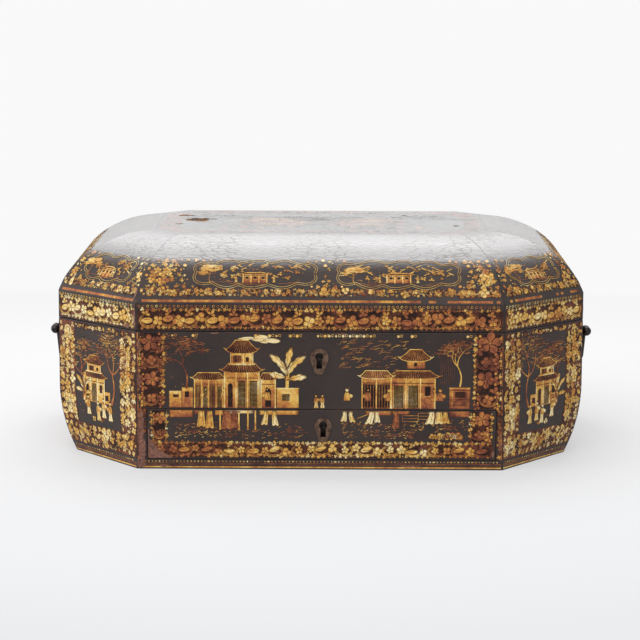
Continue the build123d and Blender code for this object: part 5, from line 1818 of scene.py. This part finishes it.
def outside_lobes(panels, margin):
    """How far a place is outside all the lobed panels, less a margin. For one panel it is
    ((|x / wide|^3 + |y / high|^3)^(1/3) - 1) * min(wide, high), from the panel's middle."""
    def room(x, y):
        far = 100.0
        for px, py, wide, high in panels:
            ring = (abs((x - px) / wide) ** 3 + abs((y - py) / high) ** 3) ** (1 / 3)
            far = min(far, (ring - 1) * min(wide, high) - margin)
        return far

    return room


def lid_panel(side, px, py, wide, high):
    """A lobed panel with its middle at px, py, and a small garden full of sprigs in it."""
    lobed_line(side, px, py, wide, high, 0.8)
    tree(side, px - 0.7 * wide, py - 8.0, 15.0, 0.6, leaf_tone=0.7)
    hall(side, px, py - 7.5, 0.28 * wide + 4.0, 6.5, 0.68, "www", storey=False)
    for share in (-0.5, -0.36, 0.4, 0.52, 0.66):
        spray(side, px + share * wide, py - 5.0 + 6 * side.random.random(), 2.2, side.random.uniform(0, 6),
              0.72, 2)
    for share in (-0.3, 0.3):
        person(side, px + share * wide, py - 7.5, 6.5, 0.7, 0.85)
    ground(side, px - 0.7 * wide, px + 0.7 * wide, py - 9.0, py - 6.5, 0.5, 8)
    specks(side, px - 0.8 * wide, px + 0.76 * wide, py - 7.5, py + 7.0, 0.5, int(1.6 * wide))
    for _ in range(int(0.7 * wide)):
        share = side.random.uniform(-0.8, 0.8)
        y = py + side.random.uniform(-2.0, 7.0)
        slant = side.random.choice([-1.0, 1.0])
        line(side, px + share * wide, y, px + share * wide + 3.4, y + 1.9 * slant, 0.55, 0.74, 2)
        bloom(side, px + 0.9 * share * wide, y + side.random.uniform(-2, 1), 1.2, 4, 0.0, 0.68, 1)


print("lobed panels")

# %% Lid sides
lid_tones = {0: (0.54, 0.62), 1: (0.75, 0.64), 7: (0.83, 0.72)}  # band and cove
other_tones = (0.64, 0.62)
dome_low, dome_high = stripe_high + 1.2, knee_up + 0.5
panel_up = dome_low + 18.2
long_panels = {0: ((-43.5, 52.0), 42.0), 4: ((-46.0, 46.0), 40.0)}  # places and half length
for index in range(8):
    band_tone, dome_tone = lid_tones.get(index, other_tones)
    side = Drawing(40 + index, lid_room(index))
    half = case_lengths[index] / 2 - edge_room
    lid_band(side, index, half, band_tone)
    lid_stripe(side, index, half)
    middles, wide = long_panels.get(index, ((0.0,), 0.30 * case_lengths[index]))
    panels = [(middle, panel_up, wide, 11.6 if index in long_panels else 11.4) for middle in middles]
    for place in panels:
        lid_panel(side, *place)
    outside = outside_lobes(panels, 0.4)

    def dome_room(x, y):
        return min(outside(x, y), (half - lid_profile(y)[0] * corner_lean - abs(x)) * 0.92)

    for low, high, step, paler, curls, under in (
        (dome_low, dome_low + 8.0, 7.6, 0.12, 0.3, 0.06),
        (dome_low + 0.5, dome_low + 6.5, 3.6, 0.0, 0.2, 0.0),
        (dome_low + 6.0, dome_high, 5.0, 0.03, 0.3, 0.0),
    ):
        brocade(side, (-half, low, half, high), step, lambda x, y: dome_tone + paler, dome_room, curls,
                under=under)
    paint(f"lid_{face_names[index]}_painting", side, lid_face(index, 0.05), "lid")

# %% Pale patches at the lid's front left edge
# Pale ragged patches along the edge and near the foot of the band
lid_edge_patches = Drawing(73, lid_room(7))
lid_end = case_lengths[7] / 2
for place in (
    (lid_end - 1.5, 9.0, 2.0, 17.0), (lid_end - 9.0, 2.2, 5.0, 2.8), (lid_end - 3.0, 24.0, 1.6, 9.0),
):
    patch(lid_edge_patches, *place, 4)
paint("lid_front_left_edge_patches", lid_edge_patches, lid_face(7, 0.05), "lid", bare_ground)

# %% [markdown]
# ## The top
# The photograph shows the top only as a glare, with two lost patches near the left. A border and two
# gardens in very dark tones stand in for what such tops carry, worn almost away.

# %% Top painting
top_half_x, top_half_y = top_high[:2]
top_cut = 19.92  # what the cut corners take off the sum of both half sizes
top_border_width = 14.0


def top_room(x, y):
    """How far inside the top's eight sides a place is, less 1.5 mm."""
    return min(top_half_x - abs(x), top_half_y - abs(y),
               (top_half_x + top_half_y - top_cut - abs(x) - abs(y)) / np.sqrt(2)) - 1.5


def top_border(x, y):
    """How far inside the border along those sides a place is."""
    return min(top_room(x, y), top_border_width - top_room(x, y))


def top_surface(across, up, out):
    """The flat top, with the paint on it rubbed down to 0.15 of its height."""
    return np.stack([across, up, crown + 0.15 * out], axis=-1)


top = Drawing(60)
brocade(top, (-top_half_x, -top_half_y, top_half_x, top_half_y), 6.0, lambda x, y: 0.15, top_border,
        curls=0.25)
garden(top, -85, -42, 0, 40, 0.18, 1)
garden(top, 0, -42, 85, 40, 0.18, -1)
paint("lid_top_painting", top, top_surface, "lid")

# %% Chips on the top
chips = Drawing(72)
for place in (
    (-88.0, 10.0, 18.0, 20.0), (-99.0, 36.0, 13.0, 8.0), (-101.0, -14.0, 6.0, 5.0), (-78.0, 14.0, 7.0, 6.0),
    (60.0, 40.0, 5.0, 4.0), (20.0, -30.0, 3.0, 2.0), (-30.0, 10.0, 2.0, 2.0), (95.0, -20.0, 4.0, 6.0),
):
    patch(chips, *place)
paint("lid_top_chips", chips, top_surface, "lid", bare_wood)
print(len(paint_pieces), "painted pieces")
